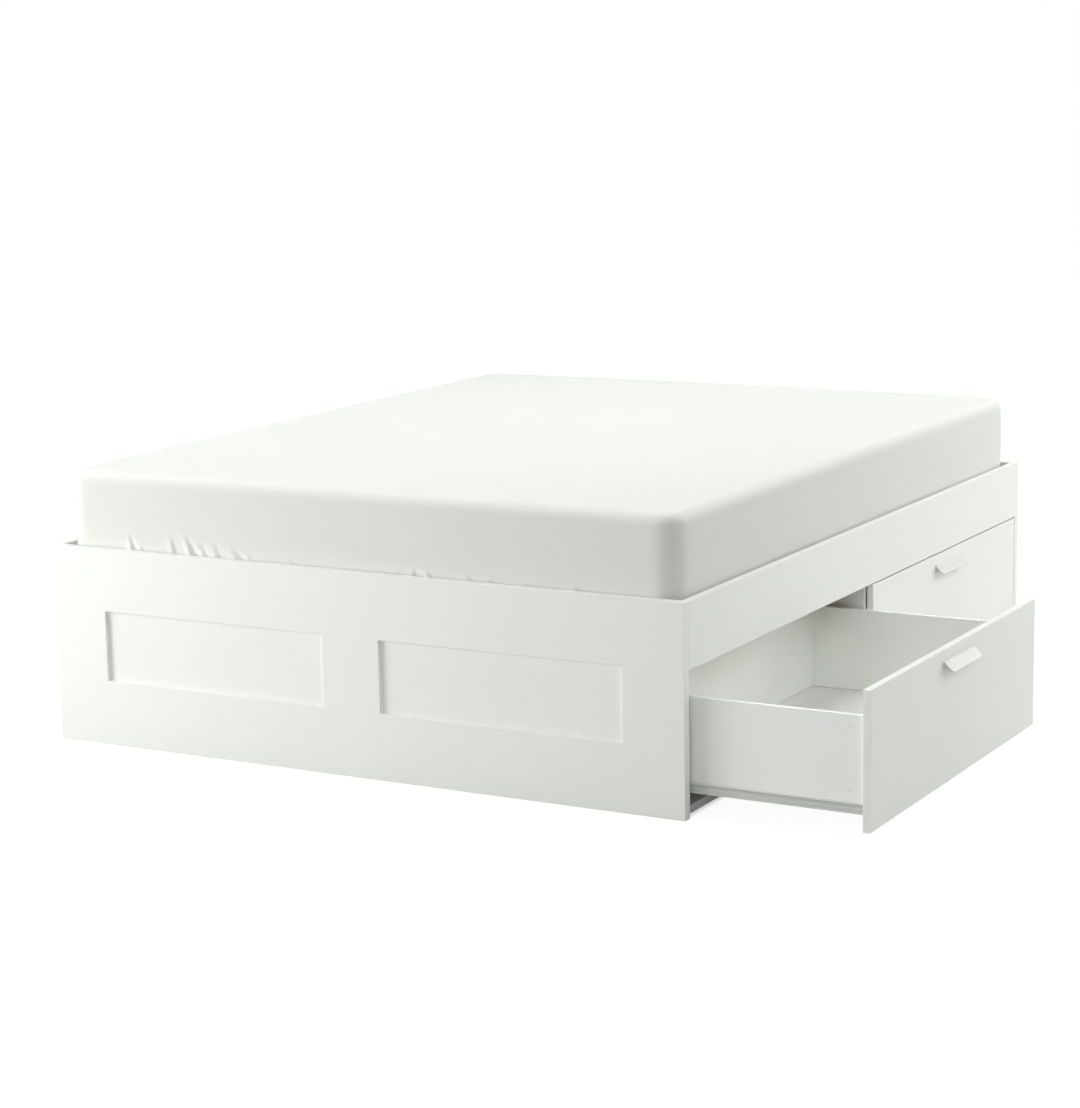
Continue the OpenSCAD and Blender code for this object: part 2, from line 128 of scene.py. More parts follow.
def place_lamps():
    """Rectangular soft boxes, each turned to face the point that it is aimed at."""
    for name, place, aim, width, height, watts in LAMPS:
        data = bpy.data.lights.new(name, "AREA")
        data.shape = "RECTANGLE"
        data.size, data.size_y, data.energy = width, height, watts
        hang_lamp(data, (Vector(aim) - Vector(place)).to_track_quat("-Z", "Y"), place)
    way, wide, strength = FAR_LIGHT
    data = bpy.data.lights.new("far_light", "SUN")
    data.angle, data.energy = radians(wide), strength
    hang_lamp(data, Vector(way).to_track_quat("Z", "Y"))


def seen_directly(tree):
    """1 for rays that look at a thing itself or at its mirror image, 0 for its light on others."""
    path = tree.nodes.new("ShaderNodeLightPath")
    glossy, all_seen = (tree.nodes.new("ShaderNodeMath") for _ in range(2))
    glossy.operation = all_seen.operation = "MAXIMUM"
    tree.links.new(path.outputs["Is Glossy Ray"], glossy.inputs[0])
    tree.links.new(path.outputs["Is Transmission Ray"], glossy.inputs[1])
    tree.links.new(path.outputs["Is Camera Ray"], all_seen.inputs[0])
    tree.links.new(glossy.outputs[0], all_seen.inputs[1])
    return all_seen.outputs[0]


def carried_over(tree, *bounds):
    """A node that carries low to high over to new low to new high, bounds in that order."""
    fade = tree.nodes.new("ShaderNodeMapRange")
    for socket, bound in zip(list(fade.inputs)[1:5], bounds):
        socket.default_value = bound
    return fade


def painted_shade_under_bed(tree, where, value):
    """The value outside the bed's own outline on the floor, and none of it beneath the bed, which
    paints shade under the bed: the larger of x and y, as shares of the bed's half width and half
    length, fades it in."""
    half_x, half_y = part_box("foot_end_panel")[1][0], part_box("head_end_panel")[1][1]
    share = tree.nodes.new("ShaderNodeVectorMath")
    share.operation = "MULTIPLY"
    share.inputs[1].default_value = (1 / half_x, 1 / half_y, 0)
    size = tree.nodes.new("ShaderNodeVectorMath")
    size.operation = "ABSOLUTE"
    axes = tree.nodes.new("ShaderNodeSeparateXYZ")
    wider, outside = (tree.nodes.new("ShaderNodeMath") for _ in range(2))
    wider.operation = "MAXIMUM"
    fade = carried_over(tree, GLOW_EDGE, 1.0, 0.0, 1.0)
    outside.operation = "MULTIPLY"
    tree.links.new(where, share.inputs[0])
    tree.links.new(share.outputs[0], size.inputs[0])
    tree.links.new(size.outputs[0], axes.inputs[0])
    tree.links.new(axes.outputs["X"], wider.inputs[0])
    tree.links.new(axes.outputs["Y"], wider.inputs[1])
    tree.links.new(wider.outputs[0], fade.inputs[0])
    tree.links.new(fade.outputs[0], outside.inputs[0])
    tree.links.new(value, outside.inputs[1])
    return outside.outputs[0]


def surround():
    """A surround that is seen white, and a pale floor that keeps the shadow of what stands on it.
    What is seen of the floor grows to full white a few metres away. Beneath the bed the floor's glow
    is off, a painted shade there."""
    scene = bpy.context.scene
    scene.view_settings.view_transform = "Standard"
    world = bpy.data.worlds.new("surround")
    world.use_nodes = True
    scene.world = world
    tree = world.node_tree
    dim = tree.nodes["Background"]
    dim.inputs["Strength"].default_value = 0
    white = tree.nodes.new("ShaderNodeBackground")
    white.inputs["Color"].default_value = (1, 1, 1, 1)
    mixed = tree.nodes.new("ShaderNodeMixShader")
    tree.links.new(seen_directly(tree), mixed.inputs[0])
    tree.links.new(dim.outputs[0], mixed.inputs[1])
    tree.links.new(white.outputs[0], mixed.inputs[2])
    tree.links.new(mixed.outputs[0], tree.nodes["World Output"].inputs["Surface"])

    finish = bpy.data.materials.new("pale_floor")
    finish.use_nodes = True
    tree = finish.node_tree
    body = tree.nodes["Principled BSDF"]
    body.inputs["Base Color"].default_value = FLOOR_LIT
    body.inputs["Roughness"].default_value = 0.9
    shaded = tree.nodes.new("ShaderNodeBsdfDiffuse")
    shaded.inputs["Color"].default_value = FLOOR_SEEN
    glow = tree.nodes.new("ShaderNodeEmission")
    where = tree.nodes.new("ShaderNodeTexCoord")
    away = tree.nodes.new("ShaderNodeVectorMath")
    away.operation = "LENGTH"
    rise = carried_over(tree, *GLOW_RISE, GLOW_NEAR, 1.0)
    tree.links.new(where.outputs["Object"], away.inputs[0])
    tree.links.new(away.outputs["Value"], rise.inputs[0])
    # The glow is off beneath the bed's outline: painted shade under the bed.
    tree.links.new(painted_shade_under_bed(tree, where.outputs["Object"], rise.outputs[0]),
                   glow.inputs["Strength"])
    pale = tree.nodes.new("ShaderNodeAddShader")
    mixed = tree.nodes.new("ShaderNodeMixShader")
    tree.links.new(shaded.outputs[0], pale.inputs[0])
    tree.links.new(glow.outputs[0], pale.inputs[1])
    tree.links.new(seen_directly(tree), mixed.inputs[0])
    tree.links.new(body.outputs[0], mixed.inputs[1])
    tree.links.new(pale.outputs[0], mixed.inputs[2])
    tree.links.new(mixed.outputs[0], tree.nodes["Material Output"].inputs["Surface"])
    reach = FLOOR_HALF
    corners = [(-reach, -reach, 0), (reach, -reach, 0), (reach, reach, 0), (-reach, reach, 0)]
    ground = bpy.data.meshes.new("floor")
    ground.from_pydata(corners, [], [(0, 1, 2, 3)])
    ground.materials.append(finish)
    floor = bpy.data.objects.new("floor", ground)
    scene.collection.objects.link(floor)


# ---------------------------------------------------------------- effects shared by the finishes

def tint(red, green, blue):
    """A colour written as screen values from 0 to 255, turned into light values."""
    share = np.array([red, green, blue]) / 255
    light = np.where(share <= 0.04045, share / 12.92, ((share + 0.055) / 1.055) ** 2.4)
    return (*light.tolist(), 1.0)


# The colour of painted shade: a dark line standing in for the shade in a corner or under a lip.
PAINTED_SHADE = (0.2, 0.2, 0.19, 1)


class Effect:
    """A shader node group: its inputs and outputs, and short ways to add nodes to it."""

    def __init__(self, name, inputs):
        self.tree = bpy.data.node_groups.new(name, "ShaderNodeTree")
        for label, value in inputs.items():
            kind = "NodeSocketFloat"
            if not np.isscalar(value):
                kind = "NodeSocketColor" if len(value) == 4 else "NodeSocketVector"
            socket = self.tree.interface.new_socket(label, in_out="INPUT", socket_type=kind)
            socket.default_value = value
        for label, kind in (("Colour", "Color"), ("Roughness", "Float"), ("Height", "Float")):
            self.tree.interface.new_socket(label, in_out="OUTPUT", socket_type="NodeSocket" + kind)
        self.given = self.tree.nodes.new("NodeGroupInput").outputs
        self.result = self.tree.nodes.new("NodeGroupOutput").inputs

    def node(self, kind, settings=None, **inputs):
        """Adds a node. An input is a number, a colour or another node's output."""
        made = self.tree.nodes.new("ShaderNode" + kind)
        for key, value in (settings or {}).items():
            setattr(made, key, value)
        for key, value in inputs.items():
            socket = made.inputs[int(key[1:]) if key[0] == "i" and key[1:].isdigit() else key]
            self.feed(socket, value)
        return made.outputs

    def feed(self, socket, value):
        """Links another node's output to a socket, or writes a plain value there."""
        if isinstance(value, bpy.types.NodeSocket):
            self.tree.links.new(value, socket)
        else:
            socket.default_value = value

    def math(self, operation, *values):
        """One Math node of the given operation."""
        inputs = {f"i{i}": value for i, value in enumerate(values)}
        return self.node("Math", {"operation": operation}, **inputs)[0]

    def blend(self, share, first, second, how="MIX"):
        """Colour mixed from first to second as share goes from 0 to 1."""
        settings = {"data_type": "RGBA", "blend_type": how}
        return self.node("Mix", settings, i0=share, i6=first, i7=second)[2]

    def remap(self, value, low, high, new_low, new_high):
        """Value from low to high carried to new_low to new_high, and held there beyond."""
        return self.node("MapRange", {}, i0=value, i1=low, i2=high, i3=new_low, i4=new_high)[0]

    def place(self, stretch=(1, 1, 1)):
        """The point's own place on the piece, stretched along each axis."""
        where = self.node("TexCoord")["Object"]
        return self.node("Mapping", {}, Vector=where, Scale=stretch)[0]

    def noise(self, where, scale, detail=2.0, coarse=0.5, twist=0.0):
        """Cloudy noise from 0 to 1: scale in waves to the metre, detail in octaves."""
        return self.node("TexNoise", {}, Vector=where, Scale=scale, Detail=detail,
                         Roughness=coarse, Distortion=twist)["Fac"]

    def painted_shade_line(self, colour, level, line, core, edge, share):
        """Painted shade over the colour where the level is near the line, a dark line in place of
        the shade in a corner or under a lip: share of it within core, and none from edge on."""
        off = self.math("ABSOLUTE", self.math("SUBTRACT", level, line))
        return self.blend(self.remap(off, core, edge, share, 0.0), colour, PAINTED_SHADE)

    def finish(self, colour, roughness, height):
        """Feeds the group's outputs and returns the finished group."""
        self.feed(self.result["Colour"], colour)
        self.feed(self.result["Roughness"], roughness)
        self.feed(self.result["Height"], height)
        return self.tree


def foil_effect():
    """White furniture foil: a fine orange peel, cloudy gloss, faint scuffs near the floor, and a
    painted line of shade at one height where another board meets it, standing in for the shadow in
    that corner."""
    fx = Effect("Furniture foil", {"Tint": (1, 1, 1, 1), "Roughness": 0.4, "Peel Scale": 420.0,
                                   "Cloud": 0.5, "Scuffs": 0.5, "Joint Height": -1.0})
    where = fx.place()
    peel = fx.noise(where, fx.given["Peel Scale"], 3.0, 0.55)
    ripple = fx.noise(where, 38.0, 2.0)
    cloud = fx.noise(where, 5.0, 4.0, 0.6)
    smear = fx.noise(fx.place((2.0, 2.0, 22.0)), 14.0, 5.0, 0.65, 0.4)
    level = fx.node("SeparateXYZ", {}, Vector=where)["Z"]
    low = fx.remap(level, 0.0, 0.16, 1.0, 0.0)
    worn = fx.math("MULTIPLY", low, fx.remap(smear, 0.52, 0.72, 0.0, 1.0))
    worn = fx.math("MULTIPLY", worn, fx.given["Scuffs"])
    shade = fx.math("MULTIPLY", fx.remap(cloud, 0.3, 0.7, 0.0, 1.0), fx.given["Cloud"])
    soft = fx.blend(fx.math("MULTIPLY", shade, 0.03), fx.given["Tint"], (0.62, 0.63, 0.6, 1))
    colour = fx.blend(fx.math("MULTIPLY", worn, 0.09), soft, (0.42, 0.4, 0.36, 1))
    # Painted shade: a dark line at the joint height, in place of the shadow in the corner there.
    colour = fx.painted_shade_line(colour, level, fx.given["Joint Height"], 0.5 * MM, 1.4 * MM, 0.5)
    gloss = fx.math("MULTIPLY_ADD", fx.math("SUBTRACT", cloud, 0.5), 0.16, fx.given["Roughness"])
    gloss = fx.math("ADD", gloss, fx.math("MULTIPLY", worn, 0.15))
    height = fx.math("ADD", fx.math("MULTIPLY", peel, 0.5), ripple)
    return fx.finish(colour, gloss, height)


def grain_effect():
    """Wood grain along one axis: broad growth bands, fine fibres, dark pores and a few flecks."""
    fx = Effect("Wood grain", {"Pale": (1, 1, 1, 1), "Dark": (0.5, 0.4, 0.3, 1),
                               "Stretch": (1.0, 14.0, 14.0), "Roughness": 0.6, "Pores": 0.5})
    where = fx.node("TexCoord")["Object"]
    along = fx.node("VectorMath", {"operation": "MULTIPLY"}, i0=where, i1=fx.given["Stretch"])[0]
    bands = fx.noise(along, 2.2, 4.0, 0.55, 1.2)
    fibres = fx.noise(along, 55.0, 3.0, 0.6)
    pores = fx.remap(fx.noise(along, 120.0, 1.0), 0.62, 0.72, 0.0, 1.0)
    share = fx.math("MULTIPLY_ADD", fx.remap(bands, 0.35, 0.65, 0.0, 1.0), 0.55,
                    fx.math("MULTIPLY", fibres, 0.35))
    colour = fx.blend(share, fx.given["Pale"], fx.given["Dark"])
    pored = fx.math("MULTIPLY", pores, fx.given["Pores"])
    colour = fx.blend(fx.math("MULTIPLY", pored, 0.5), colour, (0.2, 0.12, 0.06, 1))
    gloss = fx.math("MULTIPLY_ADD", fibres, 0.2, fx.given["Roughness"])
    height = fx.math("SUBTRACT", fx.math("MULTIPLY", fibres, 0.6), pored)
    return fx.finish(colour, gloss, height)


def ply_effect():
    """The edge of a glued slat: pale and darker veneers in turn, with thin glue lines between."""
    fx = Effect("Glued veneers", {"Pale": (1, 1, 1, 1), "Dark": (0.5, 0.4, 0.3, 1),
                                  "Veneer": 0.0013, "Roughness": 0.6})
    where = fx.node("UVMap", {"uv_map": "ply"})[0]
    axes = fx.node("SeparateXYZ", {}, Vector=where)
    layer = fx.math("DIVIDE", axes["Y"], fx.given["Veneer"])
    turn = fx.math("PINGPONG", layer, 1.0)
    fibres = fx.noise(fx.node("Mapping", {}, Vector=where, Scale=(60, 5200, 1))[0], 1.0, 3.0, 0.6)
    share = fx.math("MULTIPLY_ADD", fx.remap(turn, 0.4, 0.6, 0.0, 1.0), 0.6,
                    fx.math("MULTIPLY", fibres, 0.4))
    colour = fx.blend(share, fx.given["Pale"], fx.given["Dark"])
    glue = fx.remap(fx.math("ABSOLUTE", fx.math("SUBTRACT", turn, 0.5)), 0.0, 0.08, 0.5, 0.0)
    colour = fx.blend(glue, colour, (0.22, 0.13, 0.07, 1))
    gloss = fx.math("MULTIPLY_ADD", fibres, 0.2, fx.given["Roughness"])
    return fx.finish(colour, gloss, fx.math("SUBTRACT", fibres, glue))


def weave_effect():
    """Plain-woven cloth: warp and weft waves over and under each other, with thicker threads."""
    fx = Effect("Woven cloth", {"Tint": (1, 1, 1, 1), "Thread": 0.0005, "Slubs": 0.5,
                                "Roughness": 0.9, "Cloud": 0.5})
    where = fx.node("UVMap", {"uv_map": "cloth"})[0]
    axes = fx.node("SeparateXYZ", {}, Vector=where)
    pitch = fx.math("DIVIDE", TURN, fx.given["Thread"])
    warp = fx.math("SINE", fx.math("MULTIPLY", axes["X"], pitch))
    weft = fx.math("SINE", fx.math("MULTIPLY", axes["Y"], pitch))
    over = fx.math("MULTIPLY", warp, weft)
    along = fx.noise(fx.node("Mapping", {}, Vector=where, Scale=(40, 900, 1))[0], 1.0, 3.0, 0.6)
    across = fx.noise(fx.node("Mapping", {}, Vector=where, Scale=(900, 40, 1))[0], 1.0, 3.0, 0.6)
    slub = fx.math("MULTIPLY", fx.math("ADD", along, across), fx.given["Slubs"])
    cloud = fx.noise(where, 9.0, 4.0, 0.6)
    share = fx.math("MULTIPLY", fx.remap(cloud, 0.3, 0.7, 0.0, 1.0), fx.given["Cloud"])
    colour = fx.blend(fx.math("MULTIPLY", share, 0.035), fx.given["Tint"], (0.66, 0.66, 0.65, 1))
    colour = fx.blend(fx.remap(slub, 0.35, 0.75, 0.035, 0.0), colour, (0.6, 0.6, 0.59, 1))
    gloss = fx.math("MULTIPLY_ADD", slub, 0.08, fx.given["Roughness"])
    height = fx.math("MULTIPLY_ADD", over, 0.5, slub)
    return fx.finish(colour, gloss, height)


def enamel_effect():
    """Powder coat on steel: a soft orange peel with fine grit and uneven gloss, and a painted shadow
    line at one height, in place of the shade under the sliding profiles' lip."""
    fx = Effect("Powder coat", {"Tint": (1, 1, 1, 1), "Roughness": 0.4, "Peel Scale": 260.0,
                                "Grease Height": -1.0})
    where = fx.place()
    peel = fx.noise(where, fx.given["Peel Scale"], 2.0)
    grit = fx.remap(fx.noise(where, 2600.0, 1.0), 0.6, 0.75, 0.0, 1.0)
    cloud = fx.noise(where, 18.0, 3.0)
    colour = fx.blend(fx.math("MULTIPLY", cloud, 0.04), fx.given["Tint"], (0.5, 0.5, 0.49, 1))
    level = fx.node("SeparateXYZ", {}, Vector=where)["Z"]
    # Painted shadow: a dark band at one height, standing in for the shade under the lip.
    colour = fx.painted_shade_line(colour, level, fx.given["Grease Height"], 0.9 * MM, 2.3 * MM, 0.62)
    gloss = fx.math("MULTIPLY_ADD", fx.math("SUBTRACT", cloud, 0.5), 0.2, fx.given["Roughness"])
    return fx.finish(colour, gloss, fx.math("MULTIPLY_ADD", grit, 0.4, peel))


def zinc_effect():
    """Galvanised sheet: flat crystals of differing brightness with rolling lines over them."""
    fx = Effect("Galvanised sheet", {"Tint": (0.6, 0.6, 0.6, 1), "Roughness": 0.35,
                                     "Crystal Scale": 90.0})
    where = fx.place()
    cells = fx.node("TexVoronoi", {}, Vector=where, Scale=fx.given["Crystal Scale"])
    crystal = fx.node("SeparateColor", {}, Color=cells["Color"])[0]
    lines = fx.noise(fx.place((900, 6, 900)), 1.0, 2.0)
    colour = fx.blend(fx.remap(crystal, 0.0, 1.0, 0.0, 0.28), fx.given["Tint"], (0.3, 0.31, 0.33, 1))
    gloss = fx.math("MULTIPLY_ADD", crystal, 0.16, fx.given["Roughness"])
    gloss = fx.math("MULTIPLY_ADD", lines, 0.08, gloss)
    return fx.finish(colour, gloss, fx.math("MULTIPLY_ADD", crystal, 0.2, lines))


def moulded_effect():
    """Moulded plastic: the fine grain of the tool, with slow swirls in its gloss."""
    fx = Effect("Moulded plastic", {"Tint": (1, 1, 1, 1), "Roughness": 0.5, "Grain Scale": 1500.0})
    where = fx.place()
    grain = fx.noise(where, fx.given["Grain Scale"], 2.0)
    swirl = fx.noise(where, 60.0, 3.0, 0.5, 1.5)
    colour = fx.blend(fx.math("MULTIPLY", swirl, 0.08), fx.given["Tint"], (0.35, 0.34, 0.3, 1))
    gloss = fx.math("MULTIPLY_ADD", swirl, 0.15, fx.given["Roughness"])
    return fx.finish(colour, gloss, grain)


def finish_of(name, effect, relief, values, **fixed):
    """A material whose colour, gloss and relief come from one effect.

    relief is the relief's depth in metres, values go to the effect's inputs and fixed to
    the shader's own sockets.
    """
    made = bpy.data.materials.new(name)
    made.use_nodes = True
    tree = made.node_tree
    shader = tree.nodes["Principled BSDF"]
    group = tree.nodes.new("ShaderNodeGroup")
    group.node_tree = effect
    for label, value in values.items():
        group.inputs[label].default_value = value
    bump = tree.nodes.new("ShaderNodeBump")
    bump.inputs["Distance"].default_value = relief
    tree.links.new(group.outputs["Colour"], shader.inputs["Base Color"])
    tree.links.new(group.outputs["Roughness"], shader.inputs["Roughness"])
    tree.links.new(group.outputs["Height"], bump.inputs["Height"])
    tree.links.new(bump.outputs["Normal"], shader.inputs["Normal"])
    for label, value in fixed.items():
        shader.inputs[label.replace("_", " ")].default_value = value
    return made


def make_finishes():
    """Every material slot of the record, plus the edge bands, the wood of the slats' edges and
    the plastic of the cam caps."""
    foil, grain, ply, weave = foil_effect(), grain_effect(), ply_effect(), weave_effect()
    enamel, zinc, moulded = enamel_effect(), zinc_effect(), moulded_effect()
    white = tint(242, 244, 238)
    inner_white = tint(243, 244, 240)
    made = {}

    def add(name, effect, relief, values, **fixed):
        """Makes a finish and files it under its name."""
        made[name] = finish_of(name, effect, relief, values, **fixed)

    add("panel_foil", foil, 0.05 * MM, {
        "Tint": white, "Roughness": 0.42, "Cloud": 0.4, "Scuffs": 0.25})
    add("edge_band", foil, 0.04 * MM, {
        "Tint": tint(240, 243, 235), "Roughness": 0.34, "Cloud": 0.9, "Scuffs": 0.6})
    add("carcase_foil", foil, 0.05 * MM, {
        "Tint": inner_white, "Roughness": 0.5, "Cloud": 0.6, "Scuffs": 0.6})
    # The drawer sides and back get a painted line of shade where the bottom meets them.
    add("drawer_foil", foil, 0.05 * MM, {
        "Tint": tint(248, 250, 246), "Roughness": 0.48, "Peel Scale": 520.0, "Cloud": 0.4,
        "Scuffs": 0.1, "Joint Height": BOTTOM_TOP + 0.3 * MM})
    add("bottom_foil", foil, 0.08 * MM, {
        "Tint": tint(248, 248, 245), "Roughness": 0.55, "Peel Scale": 240.0, "Cloud": 0.8,
        "Scuffs": 0.1})
    add("ledge_wood", grain, 0.12 * MM, {
        "Pale": tint(226, 204, 164), "Dark": tint(186, 148, 100),
        "Stretch": (14.0, 0.8, 14.0), "Roughness": 0.62, "Pores": 0.3})
    add("slat_wood", grain, 0.08 * MM, {
        "Pale": tint(232, 212, 176), "Dark": tint(200, 168, 122),
        "Stretch": (0.9, 16.0, 16.0), "Roughness": 0.46, "Pores": 0.5})
    add("slat_edge", ply, 0.08 * MM, {
        "Pale": tint(226, 204, 164), "Dark": tint(188, 150, 104), "Roughness": 0.6})
    add("slat_tape", weave, 0.3 * MM, {
        "Tint": tint(226, 224, 214), "Thread": 0.0016, "Slubs": 0.7, "Cloud": 0.8})
    add("zinc_steel", zinc, 0.03 * MM, {
        "Tint": (0.62, 0.63, 0.64, 1), "Roughness": 0.3}, Metallic=1.0)
    add("screw_zinc", zinc, 0.01 * MM, {
        "Tint": (0.66, 0.66, 0.64, 1), "Roughness": 0.24, "Crystal Scale": 700.0},
        Metallic=1.0)
    add("leg_enamel", enamel, 0.04 * MM, {
        "Tint": tint(214, 216, 214), "Roughness": 0.38})
    add("leg_plastic", moulded, 0.03 * MM, {
        "Tint": tint(58, 58, 58), "Roughness": 0.5})
    add("handle_enamel", enamel, 0.008 * MM, {
        "Tint": tint(215, 217, 212), "Roughness": 0.36, "Peel Scale": 420.0})
    # The sliding profiles get a painted shadow line just under their lip.
    add("runner_enamel", enamel, 0.03 * MM, {
        "Tint": tint(216, 218, 213), "Roughness": 0.36, "Peel Scale": 340.0,
        "Grease Height": LIP_UNDER - 1.4 * MM})
    add("roller_plastic", moulded, 0.02 * MM, {
        "Tint": tint(228, 226, 210), "Roughness": 0.4}, Subsurface_Weight=0.15)
    add("cap_plastic", moulded, 0.02 * MM, {
        "Tint": tint(243, 244, 239), "Roughness": 0.45})
    add("mattress_cover", weave, 0.5 * MM, {
        "Tint": tint(240, 240, 234), "Thread": 0.0022, "Slubs": 0.9, "Cloud": 0.6},
        Sheen_Weight=0.2)
    add("fitted_sheet", weave, 0.12 * MM, {
        "Tint": tint(234, 237, 231), "Thread": 0.00055, "Slubs": 0.5, "Cloud": 0.35})
    return made


# ---------------------------------------------------------------- pieces

def add_piece(name, mesh, body, replaced=()):
    """Puts a finished mesh into the scene on its body, in the place of the CAD nodes it replaces."""
    piece = bpy.data.objects.new(name, mesh)
    bpy.context.scene.collection.objects.link(piece)
    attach(piece, body)
    if replaced:
        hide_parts(*replaced)
    return piece


def mesh_of(name, places, faces, finishes, smooth=True):
    """A mesh from an array of places and a list of faces."""
    mesh = bpy.data.meshes.new(name)
    mesh.from_pydata(np.asarray(places).tolist(), [], faces)
    for finish in finishes:
        mesh.materials.append(finish)
    mesh.polygons.foreach_set("use_smooth", np.full(len(mesh.polygons), smooth))
    mesh.update()
    return mesh


def grid_faces(rows, columns, first=0, closed=False, looped=False):
    """Quads between the neighbours of a grid. Its rows close on themselves where it is closed,
    and its columns where it is looped."""
    row, column = np.meshgrid(np.arange(rows - (not looped)), np.arange(columns - (not closed)),
                              indexing="ij")
    after, below = (column + 1) % columns, (row + 1) % rows
    corners = (row * columns + column, row * columns + after,
               below * columns + after, below * columns + column)
    return (first + np.stack([c.ravel() for c in corners], 1)).tolist()


def turned(outline, sides):
    """A closed outline of radius and height carried round the z axis: each of its points goes
    round a circle of its own radius."""
    around = np.arange(sides) * TURN / sides
    radius, height = np.asarray(outline).T[:, :, None]
    ring = np.ones_like(around)
    places = np.stack([radius * np.cos(around), radius * np.sin(around), height * ring], 2)
    return places.reshape(-1, 3), grid_faces(len(outline), sides, closed=True, looped=True)


def cross_head(radius, height, recess, sides=16):
    """A low screw head with a cross in it: rings whose height falls as the fourth power of the
    radius, with four arms a quarter turn apart pressed in near the middle."""
    share = np.array([0.12, 0.36, 0.6, 0.84, 0.97, 1.0])
    rise = np.array([1.0, 1.0, 1.0, 0.86, 0.5, -0.3]) * height
    around = np.arange(sides) * TURN / sides
    arm = (np.arange(sides) % (sides // 4) == 0)
    pressed = np.outer([0.95, 0.9, 0.55, 0.0, 0.0, 0.0], arm)
    pressed[0] = 0.95
    rings = np.stack([np.outer(share, np.cos(around)) * radius,
                      np.outer(share, np.sin(around)) * radius,
                      rise[:, None] - pressed * recess], 2)
    places = np.concatenate([rings.reshape(-1, 3), [(0, 0, height - recess)]])
    faces = [face[::-1] for face in grid_faces(len(share), sides, closed=True)]
    around = np.arange(sides)
    fan = np.stack([np.full(sides, len(places) - 1), around, (around + 1) % sides], 1)
    return places, faces + fan.tolist()


def stamped(shape, centres, outward):
    """The same small shape set down at each centre, with its z axis turned outwards."""
    places, faces = shape
    centres = np.asarray(centres, float)
    z = np.asarray(outward, float) * np.ones((len(centres), 1))
    x = np.cross(np.where(np.abs(z[:, 2:]) > 0.9, (0.0, 1.0, 0.0), (0.0, 0.0, 1.0)), z)
    y = np.cross(z, x)
    turn = np.stack([x, y, z], 1)
    every = np.einsum("vk,nkj->nvj", places, turn) + centres[:, None]
    step = np.arange(len(centres))[:, None] * len(places)
    sizes = sorted({len(face) for face in faces})
    groups = [np.array([face for face in faces if len(face) == size]) for size in sizes]
    repeated = [(group[None] + step[..., None]).reshape(-1, size).tolist()
                for group, size in zip(groups, sizes)]
    return every.reshape(-1, 3), sum(repeated, [])


def together(*shapes):
    """Several shapes as one list of places and one of faces."""
    starts = np.cumsum([0] + [len(places) for places, _ in shapes])
    faces = [[int(start) + corner for corner in face]
             for start, (_, part) in zip(starts, shapes) for face in part]
    return np.concatenate([places for places, _ in shapes]), faces


def tube_faces(rows, columns):
    """The quads of a tube whose rows are closed sections, and its two end faces."""
    start_cap = list(range(columns))[::-1]
    end_cap = list(range((rows - 1) * columns, rows * columns))
    return grid_faces(rows, columns, closed=True) + [start_cap, end_cap]


def swept(section, along, out, across):
    """A closed section carried along a path: its first number goes along across, its second
    along out, both given at each station of the path. Its ends are closed."""
    section = np.asarray(section)
    places = (along[:, None] + section[None, :, :1] * across[:, None]
              + section[None, :, 1:2] * out[:, None])
    return places.reshape(-1, 3), tube_faces(*places.shape[:2])


def rounded_strip(width, thick, radius, steps=3):
    """The outline of a flat bar with rounded edges, counter-clockwise, from 0 to thick."""
    turn = np.linspace(0, np.pi / 2, steps + 1)
    arc = np.stack([np.cos(turn), np.sin(turn)], 1) * radius
    half = width / 2 - radius
    spin = np.array([(0, -1), (1, 0)])
    corners = [(half, thick - radius), (-half, thick - radius), (-half, radius), (half, radius)]
    parts = []
    for corner in corners:
        parts.append(np.array(corner) + arc)
        arc = arc @ spin.T
    return np.concatenate(parts)


def uv_of(mesh, name, values):
    """Writes a UV map from one value pair for each vertex."""
    corner = np.zeros(len(mesh.loops), np.int32)
    mesh.loops.foreach_get("vertex_index", corner)
    layer = mesh.uv_layers.new(name=name)
    layer.data.foreach_set("uv", np.asarray(values, np.float32)[corner].ravel())


def ease(node, radius, thin_axis=None, steps=2):
    """A copy of a CAD piece with its sharp edges eased to a small radius.

    The copy's doubles are merged and its flat triangles joined. Where thin_axis is given,
    faces square to the board's own two faces get the edge band.
    """
    mesh = NODES[node].data.copy()
    mesh.name = node + "_eased"
    work = bmesh.new()
    work.from_mesh(mesh)
    bmesh.ops.remove_doubles(work, verts=work.verts, dist=0.01 * MM)
    bmesh.ops.dissolve_limit(work, angle_limit=radians(0.5), use_dissolve_boundaries=False,
                             verts=work.verts, edges=work.edges, delimit={"NORMAL"})
    for face in work.faces:
        face.smooth = True
        on_edge = thin_axis is not None and abs(face.normal[thin_axis]) < 0.5
        face.material_index = 1 if on_edge else 0
    work.to_mesh(mesh)
    work.free()
    mesh.materials.clear()
    mesh.materials.append(FINISHES[SLOT_OF[node]])
    if thin_axis is not None:
        mesh.materials.append(FINISHES["edge_band"])
    piece = add_piece(node + "_eased", mesh, BODY_OF[node], [node])
    rounding = piece.modifiers.new("eased edges", "BEVEL")
    rounding.width = radius
    rounding.segments = steps
    rounding.limit_method = "ANGLE"
    rounding.angle_limit = radians(35)
    shading = piece.modifiers.new("flat faces", "WEIGHTED_NORMAL")
    shading.weight = 100
    shading.keep_sharp = False
    return piece


